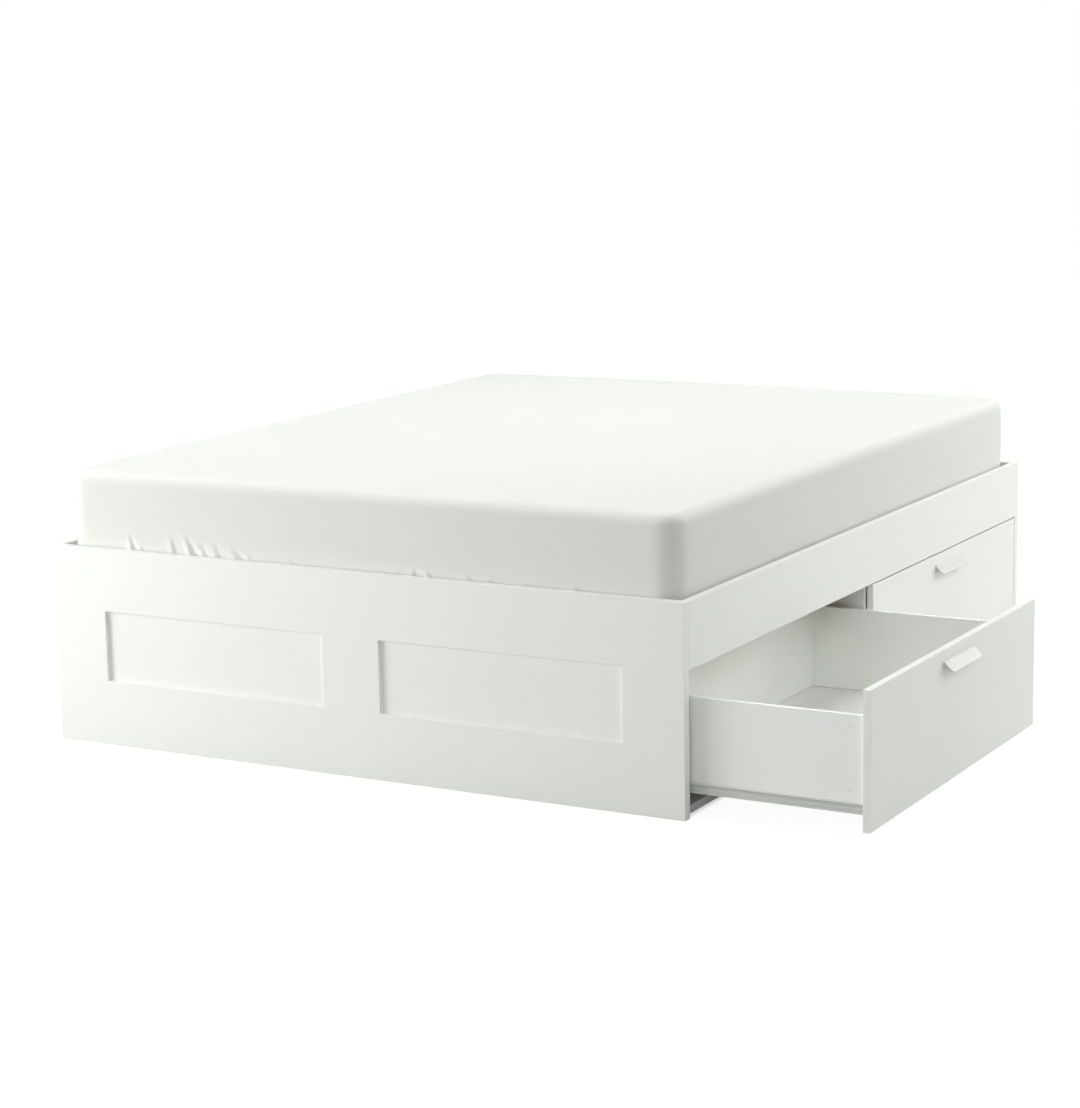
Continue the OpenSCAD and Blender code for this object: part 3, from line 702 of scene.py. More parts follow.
def ease_boards():
    """All boards and folded steel: wide faces in foil, narrow ones in edge band."""
    for end in ("foot", "head"):
        ease(f"{end}_end_panel", 1.2 * MM, 1)
    for side in ("right", "left"):
        ease(f"side_rail_{side}", 0.8 * MM, 0)
        ease(f"divider_{side}", 0.6 * MM, 1)
        ease(f"floor_board_{side}", 0.6 * MM, 2)
        ease(f"inner_board_{side}", 0.6 * MM, 0)
        ease(f"ledge_{side}", 1.5 * MM)
    for bay, _, _ in BAYS:
        ease(f"drawer_front_{bay}", 0.9 * MM, 0)
        ease(f"drawer_left_side_{bay}", 0.6 * MM, 1)
        ease(f"drawer_right_side_{bay}", 0.6 * MM, 1)
        ease(f"drawer_back_{bay}", 0.6 * MM, 0)
        ease(f"drawer_bottom_{bay}", 0.3 * MM)
        ease(f"drawer_handle_{bay}", 0.7 * MM, steps=3)
        ease(f"drawer_runners_{bay}", 0.25 * MM)
        ease(f"channel_runners_{bay}", 0.25 * MM)
    for node in ("mid_beam", "beam_brackets", "beam_leg", "leg_foot"):
        ease(node, 0.4 * MM)


# ---------------------------------------------------------------- slatted base

SLATS = 17
SLAT_WIDE = 65 * MM
SLAT_THICK = 9 * MM
SLAT_RISE = 12 * MM
# Even stations along a slat's arc. Its drawn-in ends take the place of the first and last.
ARC_STATIONS = 25
# How far from a slat's end its section is drawn in, and by how much.
SLAT_END = np.array([(0.0, 1.4), (0.4, 0.5), (1.4, 0.0)]) * MM
# How far the grain of two slats is shifted against each other, for each metre between them.
GRAIN_SHIFT = 7
TAPE_WIDE = 25 * MM
TAPE_THICK = 1 * MM
TAPE_APART = 540 * MM
TAPE_PLAY = 0.2 * MM
TAPE_SAG = 1 * MM
# Stations along a tape from one slat's middle to the next one's.
TAPE_STEPS = 12


def slat_arc(side):
    """The middle, the axis height, the radius and the half chord of the arc that a half's slats
    follow, and the places of the slats along the bed. The radius is that of a circle through
    both ends and the crown."""
    low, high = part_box(f"slats_{side}")
    chord = (high[0] - low[0]) / 2
    radius = (chord ** 2 + SLAT_RISE ** 2) / (2 * SLAT_RISE)
    along = np.linspace(low[1] + SLAT_WIDE / 2, high[1] - SLAT_WIDE / 2, SLATS)
    return (low[0] + high[0]) / 2, low[2] + SLAT_RISE - radius, radius, chord, along


def make_slats(side):
    """The bent slats of one half: a flat section with rounded edges, carried along an arc of
    large radius, drawn in a little over the last millimetre at each end."""
    middle, axis, radius, chord, along = slat_arc(side)
    section = rounded_strip(SLAT_WIDE, SLAT_THICK, 1.6 * MM)
    reach = np.arcsin(chord / radius)
    from_end, drawn = SLAT_END[:, 0] / radius, SLAT_END[:, 1]
    turn = np.concatenate([-reach + from_end, np.linspace(-reach, reach, ARC_STATIONS)[1:-1],
                           (reach - from_end)[::-1]])
    inset = np.concatenate([drawn, np.zeros(ARC_STATIONS - 2), drawn[::-1]])[:, None]
    core = SLAT_THICK / 2
    across = section[None, :, 0] * (1 - inset / (SLAT_WIDE / 2))
    through = core + (section[None, :, 1] - core) * (1 - inset / core)
    sine, cosine = np.sin(turn)[:, None], np.cos(turn)[:, None]
    one = np.stack([middle + (radius + through) * sine, across,
                    axis + (radius + through) * cosine], 2)
    rows, columns = across.shape
    faces = tube_faces(rows, columns)
    centres = np.stack([along * 0, along, along * 0], 1)
    count = rows * columns
    places = (one.reshape(1, -1, 3) + centres[:, None]).reshape(-1, 3)
    every = [[corner + slat * count for corner in face] for slat in range(SLATS) for face in faces]
    mesh = mesh_of(f"bent_slats_{side}", places, every,
                   [FINISHES["slat_wood"], FINISHES["slat_edge"]])
    length = np.repeat(turn * radius, columns) + radius
    ply = np.stack([np.tile(length, SLATS) + np.repeat(along, count) * GRAIN_SHIFT,
                    np.tile(through.ravel(), SLATS)], 1)
    uv_of(mesh, "ply", ply)
    facing = np.zeros(len(mesh.polygons) * 3, np.float32)
    mesh.polygons.foreach_get("normal", facing)
    facing = facing.reshape(-1, 3)
    on_edge = np.abs(facing[:, 2]) < 0.75
    mesh.polygons.foreach_set("material_index", on_edge.astype(np.int32))
    slats = add_piece(mesh.name, mesh, "frame", [f"slats_{side}"])
    shading = slats.modifiers.new("flat faces", "WEIGHTED_NORMAL")
    shading.weight = 80
    shading.keep_sharp = False
    return slats


def make_tapes(side, slats):
    """The two woven tapes stapled under the slats of one half: each lies against every slat and
    sags a little between them, as the square of a cosine. Returns the lines of the staples: a
    tape's x, the height of its face and the places of the slats along it."""
    middle, axis, radius, _, along = slat_arc(side)
    section = rounded_strip(TAPE_WIDE, TAPE_THICK, 0.45 * TAPE_THICK)
    low, high = along[0] - SLAT_WIDE / 2, along[-1] + SLAT_WIDE / 2
    y = np.linspace(low + TAPE_THICK, high - TAPE_THICK, (SLATS - 1) * TAPE_STEPS + 5)
    pitch = along[1] - along[0]
    between = np.clip((((y - along[0]) / pitch) % 1 - 0.5) / (1 - SLAT_WIDE / pitch), -0.5, 0.5)
    inside = (y > along[0]) & (y < along[-1])
    sag = TAPE_SAG * np.cos(np.pi * between) ** 2 * inside
    under = radius - TAPE_PLAY - TAPE_THICK
    made = []
    for name, apart in (("inner", -TAPE_APART / 2), ("outer", TAPE_APART / 2)):
        apart = apart if side == "right" else -apart
        lean = np.arcsin(apart / radius)
        depth = under - sag
        path = np.stack([middle + depth * np.sin(lean), y, axis + depth * np.cos(lean)], 1)
        out = np.array([[np.sin(lean), 0, np.cos(lean)]]) * np.ones((len(y), 1))
        across = np.array([[np.cos(lean), 0, -np.sin(lean)]]) * np.ones((len(y), 1))
        places, faces = swept(section, path, out, across)
        mesh = mesh_of(f"slat_tape_{side}_{name}", places, [f[::-1] for f in faces],
                       [FINISHES["slat_tape"]])
        run = np.repeat(y, len(section))
        uv_of(mesh, "cloth", np.stack([np.tile(section[:, 0], len(y)), run], 1))
        replaced = ["slat_tapes"] if (side, name) == ("right", "inner") else []
        tape = add_piece(mesh.name, mesh, "frame", replaced)
        made.append((middle + under * np.sin(lean), axis + under * np.cos(lean), along))
    return made


def make_staples(lines):
    """One wire staple through each tape under each slat: a round wire bent to a shallow U."""
    path = np.array([(-5, 0, -0.4), (-5, 0, 0.3), (-4.6, 0, 0.62), (4.6, 0, 0.62), (5, 0, 0.3),
                     (5, 0, -0.4)]) * MM
    around = np.arange(6) * TURN / 6
    wire = np.stack([np.cos(around), np.sin(around)], 1) * 0.35 * MM
    out = np.array([(-1, 0, 0), (-0.8, 0, 0.6), (-0.4, 0, 0.9), (0.4, 0, 0.9), (0.8, 0, 0.6),
                    (1, 0, 0)])
    across = np.array([(0, 1.0, 0)]) * np.ones((6, 1))
    staple = swept(wire, path, out / np.linalg.norm(out, axis=1)[:, None], across)
    centres = np.concatenate([np.stack([along * 0 + x, along, along * 0 + z], 1)
                              for x, z, along in lines])
    places, faces = stamped(staple, centres, (0, 0, -1))
    mesh = mesh_of("tape_staples", places, faces, [FINISHES["screw_zinc"]])
    add_piece("tape_staples", mesh, "frame")


def make_slatted_base():
    """Both halves of the base, with their tapes and the tapes' staples."""
    lines = []
    for side in ("right", "left"):
        lines += make_tapes(side, make_slats(side))
    make_staples(lines)


# ---------------------------------------------------------------- rollers, screws and fittings

BED_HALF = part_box("foot_end_panel")[1][0]
# One bay stands for all: its drawer is shut at rest.
ONE_BAY = {part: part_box(f"{part}_head_right") for part in (
    "drawer_front", "drawer_left_side", "drawer_right_side", "channel_runners")}
FRONT_IN = ONE_BAY["drawer_front"][0][0]
BOX_BACK, BOX_START, BOX_LOW = ONE_BAY["drawer_left_side"][0]
BOX_END = ONE_BAY["drawer_right_side"][1][1]
BAY_START, BAY_END = (corner[1] for corner in ONE_BAY["channel_runners"])
BOX_HALF = (BOX_END - BOX_START) / 2
BAY_HALF = (BAY_END - BAY_START) / 2
BAY_MIDDLE = (BAY_START + BAY_END) / 2
RUNNER_GAP = BAY_HALF - BOX_HALF
# How far a front's own middle lies from its bay's, towards the middle of the bed.
FRONT_SHIFT = BAY_MIDDLE - (ONE_BAY["drawer_front"][0][1] + ONE_BAY["drawer_front"][1][1]) / 2
HANDLE_SCREW_Z = 282 * MM
HANDLE_SCREWS_Y = (-64 * MM, 64 * MM)
ROLLER_SIDES = 40
# A roller's outline as radius and height: bore, hub, web, rim and tread, and back to the bore.
ROLLER_OUTLINE = np.array([
    (2.56, 0.25), (4.3, 0.25), (4.6, 0.0), (5.1, 0.0), (5.4, 0.9), (7.0, 0.9), (7.3, 0.0),
    (7.9, 0.0), (8.6, 0.22), (9.0, 0.8), (9.0, 3.0), (8.85, 3.4), (9.0, 3.8), (9.0, 6.0),
    (8.6, 6.58), (7.9, 6.8), (7.3, 6.8), (7.0, 5.9), (5.4, 5.9), (5.1, 6.8), (4.6, 6.8),
    (4.3, 6.55), (2.56, 6.55),
]) * MM
# A bead's section: height along the web and reach out of it.
BEAD_SECTION = np.array([(2.2, -0.2), (1.9, 0.35), (0.9, 0.95), (-0.1, 1.1), (-1.3, 0.7),
                         (-2.0, 0.25), (-2.2, -0.2)]) * MM
BEAD_LEVELS = (5.2 * MM, 13.2 * MM)
# Where the beads start and stop, from the box's back and from the front.
BEAD_ENDS = (24 * MM, 1.5 * MM)
# A bead's stations as shares of its length, and the size of its section there.
BEAD_RUN = np.array([(0, 0.2), (0.006, 1), (1 - 0.006, 1), (1, 0.2)])
# Screws through the channels and through the sliding profiles: their places along x, and how
# high they sit above the lower edge of the drawer box.
CHANNEL_SCREWS_X = (0.32, 0.5, 0.7)
CHANNEL_SCREWS_UP = 10.5 * MM - RUNNER_T
PROFILE_SCREWS_X = (0.33, 0.52, 0.74)
PROFILE_SCREWS_UP = 12 * MM
# Screws into the box's back, and the cam caps behind its front: inset along x, and heights.
BACK_SCREWS = (6 * MM, (45 * MM, 165 * MM))
CAM_CAPS = (33 * MM, (48.5 * MM, 181.5 * MM))
LEDGE_SCREWS_Y = np.linspace(-0.9, 0.9, 7)
# Thickness of the beam's brackets and of the leg's plate.
STEEL_T = 3 * MM
# Bracket screws: half their distance across the beam, and how far from the bracket's edges.
BRACKET_SCREWS = (35 * MM, 14 * MM)
LEG_SCREWS_Y = (-27 * MM, 27 * MM)
# Screw heads and caps: radius, height and depth of the cross, in millimetres.
HEADS = {"pan": (3.4, 0.8, 0.6), "flat": (3.2, 0.35, 0.3), "bolt": (4.4, 2.2, 1.4),
         "wood": (4.0, 0.4, 0.35), "cap": (4.6, 0.4, 0.3)}
# The way into a bay from its lower wall along y, and from its upper one.
INWARD = np.array([(0, 1, 0), (0, -1, 0)])


def in_bay(bay, places, out=0.0):
    """Places of a bay, with x towards its opening and y from its middle, carried to the frame."""
    _, side, end = bay
    return np.asarray(places, float) * (side, side, 1) + (side * out, end * BAY_MIDDLE, 0)


def how_far_open(bay):
    """How far a drawer stands out at rest: the distance of its front's face beyond the panels'."""
    low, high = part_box(f"drawer_front_{bay[0]}")
    return max(abs(low[0]), abs(high[0])) - BED_HALF


def make_rollers():
    """The moulded rollers, turned from an outline with a hub, a web and a tread."""
    shape = turned(ROLLER_OUTLINE, ROLLER_SIDES)
    for bay in BAYS:
        for kind, body in (("drawer", "rear"), ("channel", "front")):
            node = f"{kind}_rollers_{bay[0]}"
            low, high = (np.array(corner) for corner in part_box(node))
            middle = (low + high) / 2
            centres = [(middle[0], low[1], middle[2]), (middle[0], high[1], middle[2])]
            places, faces = stamped(shape, centres, [(0, 1, 0), (0, -1, 0)])
            mesh = mesh_of(node + "_turned", places, faces, [FINISHES["roller_plastic"]])
            piece = add_piece(mesh.name, mesh, f"{body}_rollers_{bay[0]}", [node])
            rim = piece.modifiers.new("crisp rims", "WEIGHTED_NORMAL")
            rim.keep_sharp = False


def make_beads():
    """The two stiffening beads rolled along the web of each sliding profile: a low section
    carried along it and shrunk at both ends."""
    share, size = BEAD_RUN.T[:, :, None]
    start, end = BOX_BACK + BEAD_ENDS[0], FRONT_IN - BEAD_ENDS[1]
    x = start + (end - start) * share
    for bay in BAYS:
        shapes = []
        for hand in (-1, 1):
            for level in BEAD_LEVELS:
                path = x * (1, 0, 0) + (0, hand * (BOX_HALF + RUNNER_T), BOX_LOW + level)
                places, faces = swept(BEAD_SECTION, path, size * (0, hand, 0), size * (0, 0, 1))
                if hand < 0:
                    faces = [face[::-1] for face in faces]
                shapes.append((in_bay(bay, places, how_far_open(bay)), faces))
        mesh = mesh_of(f"runner_beads_{bay[0]}", *together(*shapes), [FINISHES["runner_enamel"]])
        add_piece(mesh.name, mesh, f"drawer_{bay[0]}")


def both_walls(stations, inset, z):
    """Pairs of places, one at each wall of a bay, inset from the wall's face."""
    y = BAY_HALF - inset
    return [(x, hand * y, z) for x in stations for hand in (-1, 1)]


def both_box_sides(x, heights):
    """Pairs of places, one on each outer side of the drawer box, above its lower edge."""
    return [(x, hand * BOX_HALF, BOX_LOW + z) for z in heights for hand in (-1, 1)]


def heads_on_walls(head, bay, places, facing, out=0.0):
    """The same head at pairs of places, facing into the bay where facing is 1, out of it at -1."""
    _, side, _ = bay
    outward = np.tile(INWARD, (len(places) // 2, 1)) * (facing * side)
    return stamped(head, in_bay(bay, places, out), outward)


def add_heads(name, body, finish, slot, *sets):
    """Stamped sets of heads as one piece."""
    add_piece(name, mesh_of(name, *together(*sets), [FINISHES[finish]]), body)


def fix_drawer(bay, heads):
    """Screws and caps of one drawer. The screws of its channels are returned for the frame."""
    name, side, end = bay
    body, out = f"drawer_{name}", how_far_open(bay)
    channel = both_walls(CHANNEL_SCREWS_X, RUNNER_T, BOX_LOW + CHANNEL_SCREWS_UP)
    profile = both_walls(PROFILE_SCREWS_X, RUNNER_GAP - RUNNER_T, BOX_LOW + PROFILE_SCREWS_UP)
    add_heads(f"runner_screws_{name}", body, "runner_enamel", "runner_enamel",
              heads_on_walls(heads["pan"], bay, profile, -1, out))
    backs = both_box_sides(BOX_BACK + BACK_SCREWS[0], BACK_SCREWS[1])
    bolts = [(FRONT_IN, y - side * end * FRONT_SHIFT, HANDLE_SCREW_Z) for y in HANDLE_SCREWS_Y]
    add_heads(f"drawer_screws_{name}", body, "screw_zinc", "screw_zinc",
              heads_on_walls(heads["flat"], bay, backs, -1, out),
              stamped(heads["bolt"], in_bay(bay, bolts, out), (-side, 0, 0)))
    caps = both_box_sides(FRONT_IN - CAM_CAPS[0], CAM_CAPS[1])
    add_heads(f"drawer_cams_{name}", body, "cap_plastic", "roller_plastic",
              heads_on_walls(heads["cap"], bay, caps, -1, out))
    return heads_on_walls(heads["pan"], bay, channel, 1)


def make_fixings():
    """Screws and cams: pan heads on steel, flat heads in boards, moulded caps near the fronts."""
    heads = {kind: cross_head(*np.array(sizes) * MM) for kind, sizes in HEADS.items()}
    fixed = [fix_drawer(bay, heads) for bay in BAYS]
    for name, side in (("right", 1), ("left", -1)):
        low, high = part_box(f"ledge_{name}")
        face = (low if side > 0 else high)[0]
        ledges = [(face, y, (low[2] + high[2]) / 2) for y in LEDGE_SCREWS_Y]
        fixed.append(stamped(heads["wood"], ledges, (-side, 0, 0)))
    low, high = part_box("beam_brackets")
    across, margin = BRACKET_SCREWS
    for end in (-1, 1):
        face = end * (abs(low[1]) - STEEL_T)
        wings = [(x, face, z) for x in (-across, across)
                 for z in (low[2] + margin, high[2] - margin)]
        fixed.append(stamped(heads["bolt"], wings, (0, -end, 0)))
    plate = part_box("beam_leg")[1][2] - STEEL_T
    fixed.append(stamped(heads["pan"], [(0, y, plate) for y in LEG_SCREWS_Y], (0, 0, -1)))
    add_heads("frame_screws", "frame", "screw_zinc", "screw_zinc", *fixed)


# ---------------------------------------------------------------- mattress and fitted sheet

class RoundedBlock:
    """Stations round a rectangle with rounded corners, and a patch that fills it.

    Each side of the patch runs from the middle of one rounded corner to the middle of the
    next, so that the patch is a plain grid of columns and rows. The patch is the sum of the
    two fillings between opposite sides, less the one between the four corners.
    """

    def __init__(self, half_x, half_y, radius, stations_x, stations_y, corner_steps=4):
        mid_x, mid_y = half_x - radius, half_y - radius

        def arc(corner_x, corner_y, start, end):
            """Points of a rounded corner between two angles, and the way out at each."""
            turn = np.linspace(radians(start), radians(end), corner_steps + 1)
            out = np.stack([np.cos(turn), np.sin(turn)], 1)
            return np.array([corner_x * mid_x, corner_y * mid_y]) + radius * out, out

        def side(first_arc, straight, outward, last_arc):
            """Half a corner, a straight stretch and half a corner."""
            inner = np.repeat([outward], len(straight) - 2, 0)
            return (np.concatenate([first_arc[0], straight[1:-1], last_arc[0]]),
                    np.concatenate([first_arc[1], inner, last_arc[1]]))

        xs, ys = np.asarray(stations_x) * mid_x, np.asarray(stations_y) * mid_y
        near = side(arc(-1, -1, 225, 270), np.stack([xs, xs * 0 - half_y], 1), (0, -1),
                    arc(1, -1, 270, 315))
        right = side(arc(1, -1, 315, 360), np.stack([ys * 0 + half_x, ys], 1), (1, 0),
                     arc(1, 1, 0, 45))
        far = side(arc(-1, 1, 135, 90), np.stack([xs, xs * 0 + half_y], 1), (0, 1),
                   arc(1, 1, 90, 45))
        left = side(arc(-1, -1, 225, 180), np.stack([ys * 0 - half_x, ys], 1), (-1, 0),
                    arc(-1, 1, 180, 135))
        self.rows, self.columns = len(right[0]), len(near[0])
        u = ((near[0][:, 0] - near[0][0, 0]) / (near[0][-1, 0] - near[0][0, 0]))[None, :, None]
        v = ((right[0][:, 1] - right[0][0, 1]) / (right[0][-1, 1] - right[0][0, 1]))[:, None, None]
        corners = (near[0][0], near[0][-1], far[0][0], far[0][-1])
        self.patch = (
            (1 - v) * near[0][None] + v * far[0][None]
            + (1 - u) * left[0][:, None] + u * right[0][:, None]
            - (1 - u) * (1 - v) * corners[0] - u * (1 - v) * corners[1]
            - (1 - u) * v * corners[2] - u * v * corners[3]
        )
        self.ring = np.concatenate([near[0], right[0][1:], far[0][::-1][1:], left[0][::-1][1:-1]])
        self.out = np.concatenate([near[1], right[1][1:], far[1][::-1][1:], left[1][::-1][1:-1]])
        index = np.arange(self.rows * self.columns).reshape(self.rows, self.columns)
        self.border = np.concatenate([index[0], index[1:, -1], index[-1, ::-1][1:],
                                      index[::-1, 0][1:-1]])
        self.border_corners = np.cumsum([0, self.columns - 1, self.rows - 1, self.columns - 1])


def smooth_step(value, low, high):
    """0 below low and 1 above high, with no kink between."""
    share = np.clip((value - low) / (high - low), 0, 1)
    return share * share * (3 - 2 * share)


def at_height(plan, height):
    """Places of a plan with their height added."""
    return np.concatenate([plan, np.broadcast_to(height, (*plan.shape[:-1], 1))], -1)


def run_along(path):
    """The way covered from the first point of a path to each of its points."""
    return np.concatenate([[0], np.cumsum(np.linalg.norm(np.diff(path, axis=0), axis=1))])


def block_shell(name, block, top, profile, displace, finish, bottom=None):
    """A patch on top and a skirt round it: each row of the skirt is the outline moved outwards
    by the row's reach at the row's height, or drawn in towards the middle where it is negative.

    profile is an array of reach and height, starting just outside the patch's border. bottom
    is the height of a closing patch. displace(places, outward) moves the finished places.
    """
    patch = at_height(block.patch, top).reshape(-1, 3)
    half = np.abs(block.ring).max(0)
    reach, height = profile.T[:, :, None, None]
    plan = block.ring * (1 + np.minimum(reach, 0) / half) + np.maximum(reach, 0) * block.out
    skirt = at_height(plan, height)
    count, rows, first = len(block.ring), len(profile), len(patch)
    faces = grid_faces(block.rows, block.columns)
    around = np.arange(count)
    after = (around + 1) % count
    faces += np.stack([first + around, first + after, block.border[after],
                       block.border[around]], 1).tolist()
    down = np.array(grid_faces(rows, count, first, closed=True))
    faces += down[:, ::-1].tolist()
    places = np.concatenate([patch, skirt.reshape(-1, 3)])
    outward = np.concatenate([np.tile((0.0, 0.0), (first, 1)),
                              np.tile(block.out, (rows, 1))])
    skirt_cloth = np.stack([np.tile(run_along(block.ring), rows),
                            np.repeat(run_along(profile), count)], 1)
    cloth = np.concatenate([patch[:, :2], skirt_cloth])
    if bottom is not None:
        shrink_last = 1 + min(profile[-1, 0], 0) / half
        base = at_height(block.patch * shrink_last, bottom).reshape(-1, 3)
        start = len(places)
        under = np.array(grid_faces(block.rows, block.columns, start))
        faces += under[:, ::-1].tolist()
        last = first + (rows - 1) * count
        faces += np.stack([start + block.border[around], start + block.border[after],
                           last + after, last + around], 1).tolist()
        places = np.concatenate([places, base])
        outward = np.concatenate([outward, np.zeros((len(base), 2))])
        cloth = np.concatenate([cloth, base[:, :2]])
    places = displace(places, outward)
    mesh = mesh_of(name, places, faces, [finish])
    uv_of(mesh, "cloth", cloth)
    return mesh


MATTRESS_LOW, MATTRESS_HIGH = (np.array(corner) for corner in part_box("mattress"))
MATTRESS_HALF = (MATTRESS_HIGH - MATTRESS_LOW) / 2
MATTRESS_MIDDLE = (MATTRESS_HIGH[2] + MATTRESS_LOW[2]) / 2
PANEL_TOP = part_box("foot_end_panel")[1][2]
CORNER_R = 54 * MM
EDGE_R = 24 * MM
SHEET_T = 1.5 * MM
SHEET_TUCK = 110 * MM
CROWN = 9 * MM
EDGE_DIP = 4 * MM
SIDE_SWELL = 3 * MM
SHEET_SLACK = 0.8 * MM
# Depth of the hem's gathers, and their waves in radians for each metre.
HEM_GATHER = 1.2 * MM
HEM_WAVES = 140
FOAM_STATIONS = 61
# The stretch of the bed's width that holds the folds, with its fine spacing, and the spacings
# across the rest and along the bed.
FOLD_STRETCH = (-0.66, 0.60)
FINE_STEP = 3.4 * MM
COARSE_STEP = 14 * MM
LONG_STRETCH = (-0.1, 0.1)
LONG_STEP = 35 * MM
# Along the foot end: place of each fold's crest at the panel's top edge, its height above that
# edge, its width, its depth and how far its upper end leans to the left.
FOLDS = (
    (-0.617, 0.046, 0.0085, 0.0042, 0.012), (-0.590, 0.024, 0.007, 0.0022, 0.006),
    (-0.497, 0.044, 0.009, 0.0046, 0.014), (-0.446, 0.058, 0.010, 0.0055, 0.026),
    (-0.412, 0.036, 0.009, 0.0028, 0.016), (-0.376, 0.044, 0.011, 0.0034, 0.018),
    (-0.322, 0.034, 0.013, 0.0040, 0.024), (-0.282, 0.020, 0.010, 0.0026, 0.014),
    (-0.176, 0.016, 0.012, 0.0020, 0.008), (0.150, 0.017, 0.008, 0.0034, -0.006),
    (0.192, 0.020, 0.008, 0.0038, 0.010), (0.292, 0.015, 0.009, 0.0032, 0.006),
    (0.345, 0.012, 0.009, 0.0022, 0.006), (0.430, 0.012, 0.010, 0.0022, 0.008),
    (0.556, 0.013, 0.012, 0.0038, 0.010),
)


def edge_profile(half_height, tuck, side_rows, inset=0.0):
    """Reach and height of the skirt's rows: a quarter round at the top, the side, a quarter
    round at the bottom and the part that turns in under the mattress."""
    radius = EDGE_R - inset
    top, low = MATTRESS_MIDDLE + half_height, MATTRESS_MIDDLE - half_height
    turn = np.linspace(0, np.pi / 2, 9)[1:]
    upper = np.stack([radius * np.sin(turn), top - radius * (1 - np.cos(turn))], 1)
    heights = np.linspace(top - radius, low + radius, side_rows)[1:]
    side = np.stack([np.full(len(heights), radius), heights], 1)
    under = np.linspace(np.pi / 2, np.pi, 7)[1:]
    lower = np.stack([radius * np.sin(under), low + radius * (1 + np.cos(under))], 1)
    rows = [upper, side, lower]
    if tuck:
        inward = -np.linspace(0, tuck, 9)[1:]
        rows.append(np.stack([inward, np.full(len(inward), low)], 1))
    return np.concatenate(rows)


def rest_on_foam(places, outward):
    """The foam's own form: the top crowned and dipped at its edge, as the root of one less the
    fourth power of the way out, and the sides swollen at half height, as a parabola."""
    inside = np.clip(1 - (np.abs(places[:, :2]) / MATTRESS_HALF[:2]) ** 4, 0, 1).prod(1)
    above = smooth_step(places[:, 2], MATTRESS_MIDDLE, MATTRESS_HIGH[2] - EDGE_R)
    lift = above * ((CROWN + EDGE_DIP) * np.sqrt(inside) - EDGE_DIP)
    level = np.clip((places[:, 2] - MATTRESS_MIDDLE) / MATTRESS_HALF[2], -1, 1)
    swell = SIDE_SWELL * (1 - level ** 2)
    moved = places.copy()
    moved[:, 2] += lift
    moved[:, :2] += outward * swell[:, None]
    return moved


def hang_sheet(places, outward):
    """The sheet over the foam: the foam's form, a little slack on top as a sum of long waves,
    folds that start where the sheet turns in behind the panels, and a hem drawn in by its
    elastic. A fold is a bell curve with a narrower, shallower hollow beside it, which leans and
    fades upwards."""
    moved = rest_on_foam(places, outward)
    x, y, z = places.T
    on_top = smooth_step(z, MATTRESS_HIGH[2] - 0.02, MATTRESS_HIGH[2])
    slack = (np.sin(3.1 * x + 1.7 * y + 0.6) * np.sin(2.3 * y - 1.1 * x)
             + 0.5 * np.sin(7.3 * x - 2.2 * y + 1.9) * np.sin(5.1 * y + 0.7))
    moved[:, 2] += on_top * SHEET_SLACK * slack
    depth = np.zeros(len(places))
    for end in (-1, 1):
        facing = np.clip(outward[:, 1] * end, 0, 1) ** 4
        for crest, tall, wide, deep, lean in FOLDS:
            up = (z - PANEL_TOP) / tall
            fade = np.clip(1 - np.clip(up, -0.4, 1), 0, 1.4) ** 1.3
            offset = (-end * x - (crest - lean * np.clip(up, -0.5, 1.2))) / wide
            ridge = np.exp(-offset ** 2) - 0.85 * np.exp(-((offset - 1.25) / 0.6) ** 2)
            depth += facing * deep * fade * ridge
    moved[:, :2] += outward * depth[:, None]
    depth_under = MATTRESS_LOW[2] - z
    under = smooth_step(depth_under, -4 * MM, 1 * MM) * (np.abs(outward).sum(1) > 0)
    moved[:, 2] += under * HEM_GATHER * np.sin(x * HEM_WAVES) * np.sin(y * HEM_WAVES + 1)
    return moved


def spaced(fine_from, fine_to, fine_step, coarse_step, half):
    """Stations from -1 to 1 over a side of the given half length, close together in one part."""
    parts = [np.arange(-half, fine_from, coarse_step), np.arange(fine_from, fine_to, fine_step),
             np.arange(fine_to, half - coarse_step / 2, coarse_step), [half]]
    return np.concatenate(parts) / half


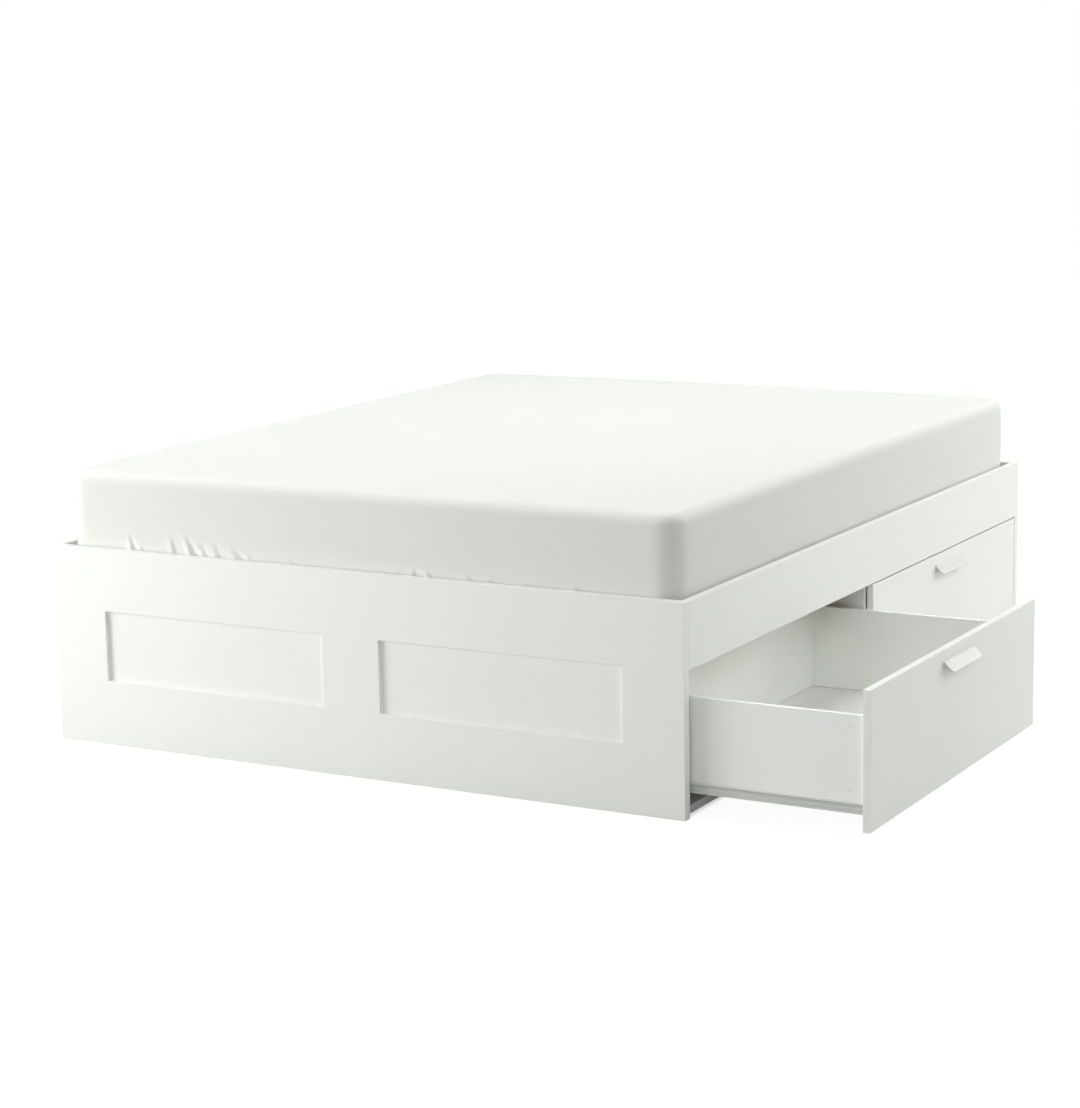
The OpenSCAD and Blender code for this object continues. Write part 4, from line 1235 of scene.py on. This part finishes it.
def make_seams(block, profile):
    """The lapped seam down each corner of the sheet: a low ridge with two welts, carried down
    the sheet's own profile at the middle of the rounded corner."""
    rows = profile[profile[:, 0] > 0.55 * EDGE_R]
    section = np.array([(-1.7, -0.3), (1.7, -0.3), (1.8, 0.1), (1.2, 0.42), (0.5, 0.42),
                        (0.0, 0.2), (-0.5, 0.42), (-1.2, 0.42), (-1.8, 0.1)]) * MM
    slope = np.gradient(rows, axis=0)
    slope /= np.linalg.norm(slope, axis=1)[:, None]
    cloth = np.stack([np.tile(section[:, 0], len(rows)),
                      np.repeat(run_along(rows), len(section))], 1)
    shapes = []
    for corner in block.border_corners:
        at, out = block.ring[corner], block.out[corner]
        path = np.concatenate([at + rows[:, :1] * out, rows[:, 1:]], 1)
        away = np.concatenate([-slope[:, 1:] * out, slope[:, :1]], 1)
        across = np.array([[out[1], -out[0], 0.0]]) * np.ones((len(rows), 1))
        places, faces = swept(section, path, away, across)
        outward = np.repeat(out[None], len(places), 0)
        shapes.append((hang_sheet(places, outward), faces))
    places, faces = together(*shapes)
    mesh = mesh_of("sheet_seams", places, faces, [FINISHES["fitted_sheet"]])
    uv_of(mesh, "cloth", np.tile(cloth, (len(shapes), 1)))
    return add_piece("sheet_seams", mesh, "frame")


def make_mattress():
    """The foam block in its cover, and the fitted sheet drawn over it."""
    inner = CORNER_R - EDGE_R
    plan = (MATTRESS_HALF[0] - EDGE_R, MATTRESS_HALF[1] - EDGE_R, inner)
    even = np.linspace(-1, 1, FOAM_STATIONS)
    foam_block = RoundedBlock(*plan, even, even)
    foam_profile = edge_profile(MATTRESS_HALF[2] - SHEET_T, 0, 20, SHEET_T)
    foam_mesh = block_shell("mattress_foam", foam_block, MATTRESS_HIGH[2] - SHEET_T, foam_profile,
                            rest_on_foam, FINISHES["mattress_cover"],
                            MATTRESS_LOW[2] + SHEET_T)
    foam = add_piece("mattress_foam", foam_mesh, "frame", ["mattress"])

    stations_x = spaced(*FOLD_STRETCH, FINE_STEP, COARSE_STEP, plan[0] - inner)
    stations_y = spaced(*LONG_STRETCH, LONG_STEP, LONG_STEP, plan[1] - inner)
    sheet_block = RoundedBlock(*plan, stations_x, stations_y)
    sheet_profile = edge_profile(MATTRESS_HALF[2], SHEET_TUCK, 40)
    sheet_mesh = block_shell("fitted_sheet", sheet_block, MATTRESS_HIGH[2], sheet_profile,
                             hang_sheet, FINISHES["fitted_sheet"])
    sheet = add_piece("fitted_sheet", sheet_mesh, "frame")
    seams = make_seams(sheet_block, sheet_profile)


# ---------------------------------------------------------------- build

place_camera()
place_lamps()
surround()
FINISHES = make_finishes()
ease_boards()
make_slatted_base()
make_rollers()
make_beads()
make_fixings()
make_mattress()
for node, piece in NODES.items():
    if not piece.hide_render:
        for place in piece.material_slots:
            place.material = FINISHES[SLOT_OF[node]]
